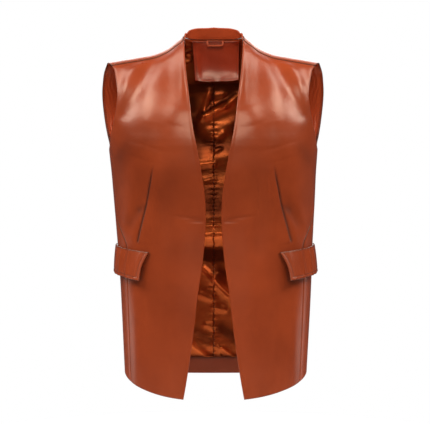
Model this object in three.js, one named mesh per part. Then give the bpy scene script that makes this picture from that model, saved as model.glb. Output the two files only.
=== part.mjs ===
// A long sleeveless leather waistcoat, open down the front, worn on an invisible general figure.
// Millimetres, +Z up. The front faces -Y and +X is the wearer's left.
// The origin lies on the centre plane, between the inner ends of the shoulder ridges.
import * as THREE from 'three';

// Squareness of a section: 2 is an ellipse and more is squarer
const SQUARENESS = 2.3;

// Driving sizes of the cut
const ARMPIT = -219;
const HEM = -665;
const FRONT_POINT_DROP = 49;
const BACK_HEM_DROP = 17.5;
const HEM_CURVE_START = -480;
const HEM_CURVE_POWER = 1.4;
const HEM_FACING_TOP = -632;
const NECK_HALF = 60.5;
const NECK_BACK = 68;
const NECK_SIDE_HEIGHT = 12.5;
const SHOULDER_SEAM_RISE = 0.955;

// The back climbs higher behind the neck than at the shoulders, most at NECK_LIFT_RISE
const NECK_LIFT = 22;
const NECK_LIFT_RISE = 0.857;
const NECK_LIFT_REACH = 100;

// Walls and the clearances between them
const SEAM_GAP = 0.3;
const LEATHER = 2;
const BAND_WALL = 3;
const FLAP_WALL = 2.6;
const LINING_WALL = 1;
const FACING_WALL = 1.4;
const INSIDE_GAP = 0.6;

// Level sections from the hem to the armpit. seam is the side seam's angle round from the front.
const BELOW = [
  { level: HEM, half: 184, front: 132, back: 130, backSquareness: 2.2, seam: 64 },
  { level: -540, half: 190.5, front: 129, back: 122, backSquareness: 2.15, seam: 63.5 },
  { level: -480, half: 193.5, front: 126, back: 116, backSquareness: 2.1, seam: 63 },
  { level: -412, half: 197, front: 124, back: 109, backSquareness: 2.05, seam: 61.5 },
  { level: -383, half: 199, front: 124, back: 107, backSquareness: 2.03, seam: 69 },
  { level: -352, half: 201, front: 126, back: 107.5, backSquareness: 2.05, seam: 80 },
  { level: -318, half: 203.5, front: 130, back: 111, backSquareness: 2.13, seam: 88 },
  { level: -265, half: 207, front: 137, back: 116.5, backSquareness: 2.26, seam: 90 },
  { level: ARMPIT, half: 211, front: 138, back: 118, backSquareness: SQUARENESS, seam: 90 },
];

// Tilted sections of the front from the armpit, rise 0, to the shoulder ridge, rise 1.
// spread is the half width that a section would have without its armhole.
const CHEST = [
  { rise: 0, spread: 211, depth: 138, hole: 211 },
  { rise: 0.03, spread: 211.4, depth: 137.8, hole: 209.6 },
  { rise: 0.09, spread: 212.4, depth: 136.5, hole: 207.8 },
  { rise: 0.17, spread: 214, depth: 133, hole: 205.5 },
  { rise: 0.29, spread: 217, depth: 126, hole: 200 },
  { rise: 0.42, spread: 222, depth: 114, hole: 195 },
  { rise: 0.55, spread: 233, depth: 99, hole: 192 },
  { rise: 0.68, spread: 251, depth: 80, hole: 192.5 },
  { rise: 0.8, spread: 268, depth: 58, hole: 196 },
  { rise: 0.9, spread: 287, depth: 36, hole: 200 },
  { rise: 0.955, spread: 300, depth: 19, hole: 206 },
  { rise: 0.985, spread: 306, depth: 10, hole: 211 },
  { rise: 1, spread: 310, depth: 0, hole: 215 },
];

// The same for the back
const BLADES = [
  { rise: 0, spread: 211, depth: 118, hole: 211 },
  { rise: 0.03, spread: 212.6, depth: 118, hole: 211.1 },
  { rise: 0.09, spread: 216.3, depth: 118.2, hole: 212.8 },
  { rise: 0.17, spread: 223, depth: 118, hole: 216.5 },
  { rise: 0.29, spread: 234.5, depth: 116, hole: 221 },
  { rise: 0.42, spread: 244.5, depth: 111, hole: 224.5 },
  { rise: 0.55, spread: 252, depth: 104, hole: 227 },
  { rise: 0.68, spread: 255, depth: 94, hole: 228 },
  { rise: 0.8, spread: 256, depth: 79, hole: 226.5 },
  { rise: 0.9, spread: 264, depth: 59, hole: 224 },
  { rise: 0.955, spread: 280, depth: 39, hole: 220.5 },
  { rise: 0.985, spread: 292, depth: 21, hole: 217.5 },
  { rise: 1, spread: 300, depth: 0, hole: 215 },
];

// Height of the shoulder ridge out to the armhole, and of the same curve inside the neck
const RIDGE = [
  { out: 0, height: 24 },
  { out: 30, height: 21 },
  { out: NECK_HALF, height: NECK_SIDE_HEIGHT },
  { out: 67, height: 7.2 },
  { out: 75, height: 1 },
  { out: 90, height: -11 },
  { out: 106, height: -19.5 },
  { out: 124, height: -26 },
  { out: 154, height: -31.5 },
  { out: 186, height: -37 },
  { out: 220, height: -43 },
];

// Half of the gap between the two front edges, from the hem to the neck
const FRONT_GAP = [
  { level: HEM, half: 59.5 },
  { level: -560, half: 39 },
  { level: -500, half: 30 },
  { level: -445, half: 21.5 },
  { level: -395, half: 16.8 },
  { level: -355, half: 15.2 },
  { level: -315, half: 16.8 },
  { level: -275, half: 22.5 },
  { level: -232, half: 30 },
  { level: -175, half: 41 },
  { level: -114, half: 48.5 },
  { level: -60, half: 55 },
  { level: NECK_SIDE_HEIGHT, half: NECK_HALF },
];

// The pocket flap, by the angle round from the front and the height of each corner
const FLAP = {
  frontTop: { angle: 37.5, level: -424 },
  rearTop: { angle: 93, level: -407 },
  frontFoot: { angle: 43.5, level: -480 },
  rearFoot: { angle: 97, level: -461 },
  seat: 0.8,
  standOff: 8,
  columns: 9,
  rows: 4,
};

// Soft folds of the lining, each a ridge from one end to the other
const LINING_FOLDS = [
  { x1: -34, z1: -156, x2: 66, z2: -98, height: 6, width: 15 },
  { x1: -10, z1: -176, x2: 62, z2: -150, height: 5, width: 16 },
  { x1: -62, z1: -240, x2: 40, z2: -226, height: 5, width: 17 },
  { x1: -110, z1: -398, x2: 120, z2: -384, height: 7, width: 15 },
  { x1: -40, z1: -444, x2: 4, z2: -478, height: 5, width: 14 },
  { x1: 2, z1: -480, x2: 44, z2: -520, height: 5, width: 14 },
  { x1: -90, z1: -588, x2: -14, z2: -622, height: 5, width: 15 },
  { x1: 70, z1: -300, x2: 150, z2: -330, height: 5, width: 17 },
  { x1: -150, z1: -290, x2: -80, z2: -318, height: 5, width: 17 },
  { x1: 80, z1: -560, x2: 140, z2: -594, height: 5, width: 16 },
];

// How far the body hangs over to the wearer's left at its sides
const SWAY = [
  { level: HEM, shift: 5 },
  { level: -500, shift: 5 },
  { level: -397, shift: 2.9 },
  { level: -336, shift: 1.8 },
  { level: ARMPIT, shift: -0.5 },
  { level: -120, shift: -1.2 },
  { level: 0, shift: 0 },
];
const SWAY_HALF = 200;

// The leather patch under the back neck, and the hanging loop over it
const PATCH = {
  leftEdge: 55, topRight: -46.5, footRight: -40.5, foot: -73.5, clear: 26, seat: 1.3, columns: 9, rows: 4,
};
const LOOP = {
  centre: 3, half: 18, strap: 4, foot: -3.5, top: 8.6, topStandOff: 5.2, footStandOff: 6.6,
};

// The neck band's rise over the neck seam and its lean towards the neck
const BAND = {
  backRise: 24, sideRise: 9.5, endRise: 13.5, backLean: 8, sideLean: 3.5, endLean: 1.5, endSetBack: 6,
};
const BAND_ROWS = 2;

// Rows and columns that the panels share
const LEVELS = [
  HEM, HEM_FACING_TOP, -590, -545, -500, -455, -412, -397, -383, -367, -352, -335, -318, -285, -252,
];
const RISES = BLADES.map((row) => row.rise);
const FRONT_RISES = RISES.filter((rise) => rise < SHOULDER_SEAM_RISE);
const STRIP_RISES = RISES.filter((rise) => rise > SHOULDER_SEAM_RISE && rise < 1);
const LINING_FOOT = HEM_FACING_TOP + SEAM_GAP;
const LINING_LEVELS = [LINING_FOOT, -612, -522, -478, -434, ...LEVELS.slice(2)].sort((a, b) => a - b);
const FRONT_COLUMNS = 14;
const NECK_COLUMNS = 5;
const HALF_COLUMNS = 14;
const FACING_COLUMNS = 2;
const COLUMN_TURN_RISE = 0.8;
const LINING_TRIM = 0.04;

// Steps for the surfaces' normals and for the search of the neck seam
const CLIMB_STEP = 0.002;
const ANGLE_STEP = 0.4;
const HALVINGS = 40;

const LEATHER_COLOUR = 0xa8542c;
const FACING_COLOUR = 0x8c4526;
const LINING_COLOUR = 0xc4703c;
const LEATHER_ROUGHNESS = 0.38;
const LINING_ROUGHNESS = 0.45;

const RADIAN = Math.PI / 180;
const RIGHT_ANGLE = 90;
const HALF_TURN = 180;

const mix = (from, to, share) => from + (to - from) * share;
const limited = (value) => Math.min(Math.max(value, 0), 1);
const eased = (value) => limited(value) ** 2 * (3 - 2 * limited(value));

// A smooth curve through one column of a table, held level past its ends
function smooth(table, key, column) {
  const keys = table.map((row) => row[key]);
  const values = table.map((row) => row[column]);
  const last = keys.length - 1;
  const slopes = keys.map((unused, i) => {
    const before = Math.max(i - 1, 0);
    const after = Math.min(i + 1, last);
    return (values[after] - values[before]) / (keys[after] - keys[before]);
  });
  return (at) => {
    const held = Math.min(Math.max(at, keys[0]), keys[last]);
    let i = 0;
    while (i < last - 1 && held > keys[i + 1]) i += 1;
    const step = keys[i + 1] - keys[i];
    const t = (held - keys[i]) / step;
    const rest = 1 - t;
    const ends = values[i] * rest * rest * (1 + 2 * t) + values[i + 1] * t * t * (3 - 2 * t);
    return ends + step * t * rest * (slopes[i] * rest - slopes[i + 1] * t);
  };
}

const ringHalf = smooth(BELOW, 'level', 'half');
const ringFront = smooth(BELOW, 'level', 'front');
const ringBack = smooth(BELOW, 'level', 'back');
const backSquareness = smooth(BELOW, 'level', 'backSquareness');
const seamAngle = smooth(BELOW, 'level', 'seam');
const frontSpread = smooth(CHEST, 'rise', 'spread');
const frontDepth = smooth(CHEST, 'rise', 'depth');
const frontHole = smooth(CHEST, 'rise', 'hole');
const backSpread = smooth(BLADES, 'rise', 'spread');
const backDepth = smooth(BLADES, 'rise', 'depth');
const backHole = smooth(BLADES, 'rise', 'hole');
const shoulderRidge = smooth(RIDGE, 'out', 'height');
const frontGap = smooth(FRONT_GAP, 'level', 'half');
const sway = smooth(SWAY, 'level', 'shift');

// Width and depth shares of a squared ring, at an angle round from the front
const squared = (value, squareness) => Math.sign(value) * Math.abs(value) ** (2 / squareness);
const across = (angle, squareness = SQUARENESS) => squared(Math.sin(angle * RADIAN), squareness);
const along = (angle, squareness = SQUARENESS) => squared(Math.cos(angle * RADIAN), squareness);
const angleOf = (share) => Math.asin(limited(share) ** (SQUARENESS / 2)) / RADIAN;
const depthShare = (share) => along(angleOf(share));

// A point of the body under the armpits, by its level and its angle round from the front
function ringPlace(level, angle) {
  const ahead = angle < RIGHT_ANGLE;
  const squareness = ahead ? SQUARENESS : backSquareness(level);
  const depth = along(angle, squareness);
  const reach = ahead ? ringFront(level) : ringBack(level);
  const drop = ahead ? FRONT_POINT_DROP * depth ** HEM_CURVE_POWER : -BACK_HEM_DROP * depth;
  const curve = eased((HEM_CURVE_START - level) / (HEM_CURVE_START - HEM));
  const out = ringHalf(level) * across(angle, squareness);
  return new THREE.Vector3(out, -reach * depth, level - drop * curve);
}

// Height of the front or the back at a rise and a distance out
const chestHeight = (rise, out) => mix(ARMPIT, shoulderRidge(out), rise);

function backHeight(rise, out) {
  const power = NECK_LIFT_RISE / (1 - NECK_LIFT_RISE);
  const share = (rise / NECK_LIFT_RISE) ** power * (1 - rise) / (1 - NECK_LIFT_RISE);
  return chestHeight(rise, out) + NECK_LIFT * share * (1 - eased(out / NECK_LIFT_REACH));
}

// The rise at which a steadily growing value reaches a target, found by halving
function riseWhere(value, target) {
  const ends = [0, 1];
  for (let step = 0; step < HALVINGS; step += 1) {
    const middle = (ends[0] + ends[1]) / 2;
    ends[value(middle) < target ? 0 : 1] = middle;
  }
  return ends[0];
}

// The neck seam's depth behind the ridge, its rise on the back and its height
const neckDepth = (out) => NECK_BACK * depthShare(out / NECK_HALF);

function neckRise(out) {
  if (out >= NECK_HALF) return 1;
  return riseWhere((rise) => -backDepth(rise) * depthShare(out / backSpread(rise)), -neckDepth(out));
}

const neckHeight = (out) => backHeight(neckRise(out), out);

function chestPlace(rise, angle) {
  const out = frontSpread(rise) * across(angle);
  return new THREE.Vector3(out, -frontDepth(rise) * along(angle), chestHeight(rise, Math.abs(out)));
}

function bladePlace(rise, angle) {
  const out = backSpread(rise) * across(angle);
  return new THREE.Vector3(out, -backDepth(rise) * along(angle), backHeight(rise, Math.abs(out)));
}

// A point of a surface with its outward normal. The surface's first value climbs it, from low to high.
function faced(surface, climb, angle, low, high) {
  const reach = CLIMB_STEP * (high - low);
  const up = surface(Math.min(climb + reach, high), angle).sub(surface(Math.max(climb - reach, low), angle));
  const round = surface(climb, angle + ANGLE_STEP).sub(surface(climb, angle - ANGLE_STEP));
  return { place: surface(climb, angle), normal: round.cross(up).normalize() };
}

const ringPoint = (level, angle) => faced(ringPlace, level, angle, HEM, ARMPIT);
const chestPoint = (rise, out) => faced(chestPlace, rise, angleOf(out / frontSpread(rise)), 0, 1);
const bladePoint = (rise, out) => faced(bladePlace, rise, HALF_TURN - angleOf(out / backSpread(rise)), 0, 1);
const bladePointAt = (height, out) => bladePoint(riseWhere((rise) => backHeight(rise, out), height), out);

const evenly = (count, point) => Array.from({ length: count + 1 }, (unused, i) => point(i / count, i));

// Half the gap of the side seam, as an angle that allows for the seam's slope
function seamTrim(level) {
  const seam = (climb, turn) => ringPlace(level + climb, seamAngle(level + climb) + turn);
  const oneDegree = seam(0, 1).distanceTo(seam(0, 0));
  const oneClimb = seam(1, 0).distanceTo(seam(0, 0));
  return SEAM_GAP / 2 * oneClimb / oneDegree;
}

// A row of the front panel between its front edge and its side seam
function frontRow(level) {
  const from = angleOf(frontGap(level) / ringHalf(level));
  const to = seamAngle(level) - seamTrim(level);
  return evenly(FRONT_COLUMNS, (share) => ringPoint(level, mix(from, to, share)));
}

// A row of the front panel between its front edge and its armhole
function chestRow(rise) {
  const spread = frontSpread(rise);
  const from = angleOf(frontGap(mix(ARMPIT, NECK_SIDE_HEIGHT, rise)) / spread);
  const to = angleOf(frontHole(rise) / spread) - SEAM_GAP / 2 / spread / RADIAN;
  return evenly(FRONT_COLUMNS, (share) => faced(chestPlace, rise, mix(from, to, share), 0, 1));
}

// Distance out of a back column at the height of the shoulder
function shoulderOut(column, hole) {
  if (column <= NECK_COLUMNS) return NECK_HALF * across(RIGHT_ANGLE * column / NECK_COLUMNS);
  return mix(NECK_HALF, hole, (column - NECK_COLUMNS) / (HALF_COLUMNS - NECK_COLUMNS));
}

// Half rows of the back, each from the centre back to the side
function backRow(level) {
  const sweep = HALF_TURN - seamAngle(level) - seamTrim(level);
  return evenly(HALF_COLUMNS, (share) => ringPoint(level, HALF_TURN - sweep * share));
}

function bladeRow(rise) {
  const spread = backSpread(rise);
  const hole = backHole(rise);
  const sweep = angleOf(hole / spread) - SEAM_GAP / 2 / spread / RADIAN;
  return evenly(HALF_COLUMNS, (share, column) => {
    const top = shoulderOut(column, hole);
    const out = mix(spread * across(sweep * share), top, eased(rise / COLUMN_TURN_RISE));
    return bladePoint(rise * neckRise(top), out);
  });
}

// The strip of the back that rolls over the ridge to the forward shoulder seam
function stripRow(rise) {
  const hole = frontHole(rise);
  return evenly(HALF_COLUMNS, (share, column) => {
    return chestPoint(rise, Math.max(shoulderOut(column, hole), NECK_HALF));
  });
}

const turnedOver = (vector) => new THREE.Vector3(-vector.x, vector.y, vector.z);
const mirrored = ({ place, normal }) => ({ place: turnedOver(place), normal: turnedOver(normal) });

// Both halves of a row in one, from the wearer's left to the right
const wholeRow = (row) => [...row].reverse().concat(row.slice(1).map(mirrored));

// A closed wall through a grid of points. inner and outer are its faces' distances out from them,
// relief adds to both at a point, and keep leaves out the cells that it returns false for.
function wall(grid, { inner, outer, relief = () => 0, keep = () => true }) {
  const columns = grid[0].length;
  const quads = [];
  for (let i = 0; i < grid.length - 1; i += 1) {
    for (let j = 0; j < columns - 1; j += 1) {
      const a = i * columns + j;
      if (keep(i, j)) quads.push([a, a + 1, a + columns + 1, a + columns]);
    }
  }
  const used = [...new Set(quads.flat())];
  const slot = new Map(used.map((point, i) => [point, i]));
  const position = [outer, inner].flatMap((distance) => used.flatMap((k) => {
    const { place, normal } = grid[Math.floor(k / columns)][k % columns];
    const moved = distance + relief(place, Math.floor(k / columns), k % columns);
    const shift = sway(place.z) * (place.x / SWAY_HALF) ** 2;
    const [x, y, z] = place.clone().addScaledVector(normal, moved);
    return [x + shift, y, z];
  }));
  const index = [];
  const edges = new Set(quads.flatMap((quad) => quad.map((a, k) => `${a} ${quad[(k + 1) % 4]}`)));
  for (const quad of quads) {
    const [a, b, c, d] = quad.map((point) => slot.get(point));
    const under = used.length;
    index.push(a, b, c, a, c, d);
    index.push(a + under, c + under, b + under, a + under, d + under, c + under);
    quad.forEach((from, k) => {
      const to = quad[(k + 1) % 4];
      if (edges.has(`${to} ${from}`)) return;
      const p = slot.get(from);
      const q = slot.get(to);
      index.push(q, p, p + under, q, p + under, q + under);
    });
  }
  const geometry = new THREE.BufferGeometry();
  geometry.setAttribute('position', new THREE.Float32BufferAttribute(position, 3));
  geometry.setIndex(index);
  geometry.computeVertexNormals();
  return geometry;
}

const leather = () => new THREE.MeshStandardMaterial({
  color: LEATHER_COLOUR, roughness: LEATHER_ROUGHNESS, metalness: 0,
});
const facingLeather = () => new THREE.MeshStandardMaterial({
  color: FACING_COLOUR, roughness: LEATHER_ROUGHNESS, metalness: 0,
});
const satin = () => new THREE.MeshStandardMaterial({
  color: LINING_COLOUR, roughness: LINING_ROUGHNESS, metalness: 0,
});

const garment = new THREE.Group();

function addPiece(name, geometry, material) {
  const mesh = new THREE.Mesh(geometry, material);
  mesh.name = name;
  garment.add(mesh);
}

// One piece on the wearer's left, and its mirror image on the right with its columns turned round
function addPair(name, grid, shape, material) {
  addPiece(`${name}_left`, wall(grid, shape), material());
  const last = grid[0].length - 1;
  const { relief = () => 0, keep = () => true } = shape;
  const turned = {
    ...shape,
    relief: (place, i, j) => relief(turnedOver(place), i, last - j),
    keep: (i, j) => keep(i, last - 1 - j),
  };
  addPiece(`${name}_right`, wall(grid.map((row) => row.map(mirrored).reverse()), turned), material());
}

function addFronts() {
  const seamRise = SHOULDER_SEAM_RISE + SEAM_GAP / 2 / ARMPIT;
  const rows = [...LEVELS.map(frontRow), ...FRONT_RISES.map(chestRow), chestRow(seamRise)];
  addPair('front', rows, { inner: -LEATHER, outer: 0 }, leather);
}

function addBack() {
  const body = [...LEVELS.map(backRow), ...RISES.map(bladeRow)];
  const strip = [...STRIP_RISES, SHOULDER_SEAM_RISE - SEAM_GAP / 2 / ARMPIT].map(stripRow);
  const isNeck = (j) => j >= HALF_COLUMNS - NECK_COLUMNS && j < HALF_COLUMNS + NECK_COLUMNS;
  const keep = (i, j) => i < body.length - 1 || !isNeck(j);
  addPiece('back', wall([...body, ...strip].map(wholeRow), { inner: -LEATHER, outer: 0, keep }), leather());
}

// Distance of a place from the nearest point of a fold's line
function distanceTo(fold, x, z) {
  const dx = fold.x2 - fold.x1;
  const dz = fold.z2 - fold.z1;
  const share = limited(((x - fold.x1) * dx + (z - fold.z1) * dz) / (dx * dx + dz * dz));
  return Math.hypot(x - fold.x1 - dx * share, z - fold.z1 - dz * share);
}

// How far the lining's folds lift it off the back, which they leave alone under the patch
function foldLift({ x, z }) {
  const lifts = LINING_FOLDS.map((fold) => {
    return fold.height * Math.exp(-((distanceTo(fold, x, z) / fold.width) ** 2));
  });
  return Math.max(...lifts) * eased((PATCH.foot - PATCH.clear - z) / PATCH.clear);
}

const LINING_OUTER = -LEATHER - INSIDE_GAP;
const LINING_INNER = LINING_OUTER - LINING_WALL;
const FACING_OUTER = -LEATHER - SEAM_GAP;
const FACING_INNER = FACING_OUTER - FACING_WALL;

// The lining's halves meet at the centre back and end at the hem and armhole facings
function addLining() {
  const low = LINING_LEVELS.map(backRow);
  const edge = HALF_COLUMNS - FACING_COLUMNS;
  const high = RISES.filter((rise) => rise < 1).map(bladeRow);
  for (const row of high) row[edge].place.lerp(row[edge - 1].place, LINING_TRIM);
  for (const row of [...low, ...high]) row[0].place.x = SEAM_GAP / 2;
  const keep = (i, j) => i < low.length - 1 || j >= FACING_COLUMNS;
  const grid = [...low, ...high].map((row) => row.reverse());
  const relief = (place) => -foldLift(place);
  addPair('lining', grid, { inner: LINING_INNER, outer: LINING_OUTER, relief, keep }, satin);
}

function addHemFacing() {
  const grid = [HEM + SEAM_GAP, HEM_FACING_TOP].map((level) => wholeRow(backRow(level)));
  addPiece('hem_facing', wall(grid, { inner: FACING_INNER, outer: FACING_OUTER }), facingLeather());
}

function addArmholeFacings() {
  const rows = RISES.filter((rise) => rise < 1).map(bladeRow);
  const grid = rows.map((row) => row.slice(HALF_COLUMNS - FACING_COLUMNS).reverse());
  addPair('armhole_facing', grid, { inner: FACING_INNER, outer: FACING_OUTER }, facingLeather);
}

// The neck seam's places from the centre back round to the forward shoulder seam
function neckSeam() {
  const round = evenly(NECK_COLUMNS, (share, column) => {
    const out = shoulderOut(column);
    return new THREE.Vector3(out, neckDepth(out), neckHeight(out));
  });
  const strip = [...STRIP_RISES, SHOULDER_SEAM_RISE - SEAM_GAP / ARMPIT];
  return [...round, ...strip.map((rise) => chestPoint(rise, NECK_HALF).place)];
}

// The band stands on the neck seam and leans towards the neck
function addNeckBand() {
  const seam = neckSeam();
  const frontEnd = seam.at(-1).y;
  const sections = seam.map((base) => {
    const ahead = limited(base.y / frontEnd);
    const behind = eased(base.y / NECK_BACK);
    const rise = mix(mix(BAND.sideRise, BAND.endRise, ahead), BAND.backRise, behind);
    const lean = mix(mix(BAND.sideLean, BAND.endLean, ahead), BAND.backLean, behind);
    const inward = new THREE.Vector3(-base.x, -Math.max(base.y, 0), 0).setLength(lean);
    const up = new THREE.Vector3(0, BAND.endSetBack * ahead, rise).add(inward);
    return { base: base.clone().setZ(base.z + SEAM_GAP), up };
  });
  const points = sections.map(({ base, up }, i) => {
    const next = sections[Math.min(i + 1, sections.length - 1)].base;
    const last = sections[Math.max(i - 1, 0)].base;
    const round = i === 0 ? new THREE.Vector3(-1, 0, 0) : last.clone().sub(next);
    const normal = round.cross(up).normalize();
    return evenly(BAND_ROWS, (share) => ({ place: base.clone().addScaledVector(up, share), normal }));
  });
  const rows = evenly(BAND_ROWS, (share, i) => wholeRow(points.map((column) => column[i])));
  addPiece('neck_band', wall(rows, { inner: -BAND_WALL, outer: 0 }), leather());
}

function addPatch() {
  const outer = LINING_INNER - PATCH.seat;
  const grid = evenly(PATCH.rows, (up) => evenly(PATCH.columns, (round) => {
    const x = mix(PATCH.leftEdge, mix(PATCH.footRight, PATCH.topRight, up), round);
    const height = mix(PATCH.foot, neckHeight(Math.abs(x)) - SEAM_GAP, up);
    const point = bladePointAt(height, Math.abs(x));
    return x < 0 ? mirrored(point) : point;
  }));
  addPiece('neck_patch', wall(grid, { inner: outer - FACING_WALL, outer }), facingLeather());
}

// A flat strap hanging from the neck seam by its two ends
function addLoop() {
  const { centre, half, strap, foot, top, topStandOff, footStandOff } = LOOP;
  const backwards = new THREE.Vector3(0, 1, 0);
  const outs = [half, half - strap, half / 4, -half / 4, strap - half, -half];
  const grid = [foot, foot + strap, top].map((height) => outs.map((out) => {
    const standOff = mix(footStandOff, topStandOff, (height - foot) / (top - foot));
    const place = new THREE.Vector3(centre + out, neckDepth(Math.abs(centre + out)) - standOff, height);
    return { place, normal: backwards };
  }));
  const keep = (i, j) => i === 0 || j === 0 || j === outs.length - 2;
  addPiece('hanging_loop', wall(grid, { inner: -FACING_WALL, outer: 0, keep }), facingLeather());
}

function addFlaps() {
  const { frontTop, rearTop, frontFoot, rearFoot } = FLAP;
  const grid = evenly(FLAP.rows, (up) => evenly(FLAP.columns, (round) => {
    const [level, angle] = ['level', 'angle'].map((key) => {
      return mix(mix(frontFoot[key], rearFoot[key], round), mix(frontTop[key], rearTop[key], round), up);
    });
    return ringPoint(level, angle);
  }));
  const relief = (place, i) => FLAP.standOff * (1 - i / FLAP.rows);
  addPair('pocket_flap', grid, { inner: FLAP.seat, outer: FLAP.seat + FLAP_WALL, relief }, leather);
}

addFronts();
addBack();
addNeckBand();
addPatch();
addLoop();
addLining();
addArmholeFacings();
addHemFacing();
addFlaps();

export default garment;
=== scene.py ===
import bpy
import numpy as np
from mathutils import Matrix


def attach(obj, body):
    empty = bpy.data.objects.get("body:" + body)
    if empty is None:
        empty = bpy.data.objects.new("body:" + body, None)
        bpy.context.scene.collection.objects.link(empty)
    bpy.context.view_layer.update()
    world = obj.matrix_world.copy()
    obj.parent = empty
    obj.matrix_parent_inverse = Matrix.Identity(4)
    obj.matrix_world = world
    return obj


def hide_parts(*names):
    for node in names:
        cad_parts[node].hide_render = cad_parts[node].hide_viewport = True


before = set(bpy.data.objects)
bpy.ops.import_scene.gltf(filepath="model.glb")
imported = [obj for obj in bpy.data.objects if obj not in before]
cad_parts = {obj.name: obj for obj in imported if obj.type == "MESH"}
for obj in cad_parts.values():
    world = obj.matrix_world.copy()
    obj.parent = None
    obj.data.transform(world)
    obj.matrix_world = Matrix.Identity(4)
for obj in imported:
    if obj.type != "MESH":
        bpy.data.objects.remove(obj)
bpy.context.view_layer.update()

# Driving sizes of the cut
SQUARENESS = 2.3
ARMPIT = -0.219
HEM = -0.665
BODY_LENGTH = ARMPIT - HEM
RISE_LENGTH = 0.24
FRONT_POINT_DROP = 0.049
BACK_HEM_DROP = 0.0175
HEM_CURVE_START = -0.48
HEM_CURVE_POWER = 1.4
HEM_FACING_TOP = -0.632
NECK_HALF = 0.0605
NECK_BACK = 0.068
NECK_SIDE_HEIGHT = 0.0125
SHOULDER_SEAM_RISE = 0.955
NECK_LIFT = 0.022
NECK_LIFT_RISE = 0.857
NECK_LIFT_REACH = 0.100
STRIP_LENGTH = 0.024
NECK_SHARE = 5 / 14
FACING_SHARE = 12 / 14
FACING_TOP_RISE = 0.985
LINING_TRIM = 0.003
COLUMN_TURN_RISE = 0.8
SWAY_HALF = 0.2

# Walls and the clearances between them. Sewn edges almost meet, so that no light comes through.
SEAM_GAP = 0.0003
SEWN_GAP = 0.00004
LEATHER = 0.002
BAND_WALL = 0.003
FLAP_WALL = 0.0026
LINING_WALL = 0.001
FACING_WALL = 0.0014
INSIDE_GAP = 0.0006
LINING_INNER = -LEATHER - INSIDE_GAP - LINING_WALL

# Level sections from the hem to the armpit:
# level, half width, depth in front, depth behind, squareness behind, angle of the side seam
BODY = (
    (HEM, 0.184, 0.132, 0.130, 2.2, 64),
    (-0.540, 0.1905, 0.129, 0.122, 2.15, 63.5),
    (-0.480, 0.1935, 0.126, 0.116, 2.1, 63),
    (-0.412, 0.197, 0.124, 0.109, 2.05, 61.5),
    (-0.383, 0.199, 0.124, 0.107, 2.03, 69),
    (-0.352, 0.201, 0.126, 0.1075, 2.05, 80),
    (-0.318, 0.2035, 0.130, 0.111, 2.13, 88),
    (-0.265, 0.207, 0.137, 0.1165, 2.26, 90),
    (ARMPIT, 0.211, 0.138, 0.118, SQUARENESS, 90),
)

# Tilted sections of the front from the armpit to the shoulder ridge: rise, half width without the
# armhole, depth, half width at the armhole
CHEST = (
    (0, 0.211, 0.138, 0.211),
    (0.03, 0.2114, 0.1378, 0.2096),
    (0.09, 0.2124, 0.1365, 0.2078),
    (0.17, 0.214, 0.133, 0.2055),
    (0.29, 0.217, 0.126, 0.200),
    (0.42, 0.222, 0.114, 0.195),
    (0.55, 0.233, 0.099, 0.192),
    (0.68, 0.251, 0.080, 0.1925),
    (0.8, 0.268, 0.058, 0.196),
    (0.9, 0.287, 0.036, 0.200),
    (0.955, 0.300, 0.019, 0.206),
    (0.985, 0.306, 0.010, 0.211),
    (1, 0.310, 0, 0.215),
)

# The same for the back
BLADES = (
    (0, 0.211, 0.118, 0.211),
    (0.03, 0.2126, 0.118, 0.2111),
    (0.09, 0.2163, 0.1182, 0.2128),
    (0.17, 0.223, 0.118, 0.2165),
    (0.29, 0.2345, 0.116, 0.221),
    (0.42, 0.2445, 0.111, 0.2245),
    (0.55, 0.252, 0.104, 0.227),
    (0.68, 0.255, 0.094, 0.228),
    (0.8, 0.256, 0.079, 0.2265),
    (0.9, 0.264, 0.059, 0.224),
    (0.955, 0.280, 0.039, 0.2205),
    (0.985, 0.292, 0.021, 0.2175),
    (1, 0.300, 0, 0.215),
)

# The shoulder ridge: distance out, height
RIDGE = (
    (0, 0.024),
    (0.030, 0.021),
    (NECK_HALF, NECK_SIDE_HEIGHT),
    (0.067, 0.0072),
    (0.075, 0.001),
    (0.090, -0.011),
    (0.106, -0.0195),
    (0.124, -0.026),
    (0.154, -0.0315),
    (0.186, -0.037),
    (0.220, -0.043),
)

# Half of the gap between the front edges: level, half
FRONT_GAP = (
    (HEM, 0.0595),
    (-0.560, 0.039),
    (-0.500, 0.030),
    (-0.445, 0.0215),
    (-0.395, 0.0168),
    (-0.355, 0.0152),
    (-0.315, 0.0168),
    (-0.275, 0.0225),
    (-0.232, 0.030),
    (-0.175, 0.041),
    (-0.114, 0.0485),
    (-0.060, 0.055),
    (NECK_SIDE_HEIGHT, NECK_HALF),
)

# How far the body hangs over to the wearer's left at its sides: level, shift
SWAY = (
    (HEM, 0.005),
    (-0.500, 0.005),
    (-0.397, 0.0029),
    (-0.336, 0.0018),
    (ARMPIT, -0.0005),
    (-0.120, -0.0012),
    (0, 0),
)


def mix(start, end, share):
    return start + (end - start) * share


def eased(value):
    held = np.clip(value, 0, 1)
    return held * held * (3 - 2 * held)


def smooth(table, column):
    """A smooth curve through one column of a table by its first column, held level past its ends."""
    keys = np.array([row[0] for row in table], float)
    values = np.array([row[column] for row in table], float)
    last = len(keys) - 1
    before = np.maximum(np.arange(last + 1) - 1, 0)
    after = np.minimum(np.arange(last + 1) + 1, last)
    slopes = (values[after] - values[before]) / (keys[after] - keys[before])

    def curve(at):
        held = np.clip(at, keys[0], keys[-1])
        i = np.clip(np.searchsorted(keys, held, side="right") - 1, 0, last - 1)
        step = keys[i + 1] - keys[i]
        t = (held - keys[i]) / step
        rest = 1 - t
        ends = values[i] * rest * rest * (1 + 2 * t) + values[i + 1] * t * t * (3 - 2 * t)
        return ends + step * t * rest * (slopes[i] * rest - slopes[i + 1] * t)

    return curve


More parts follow.
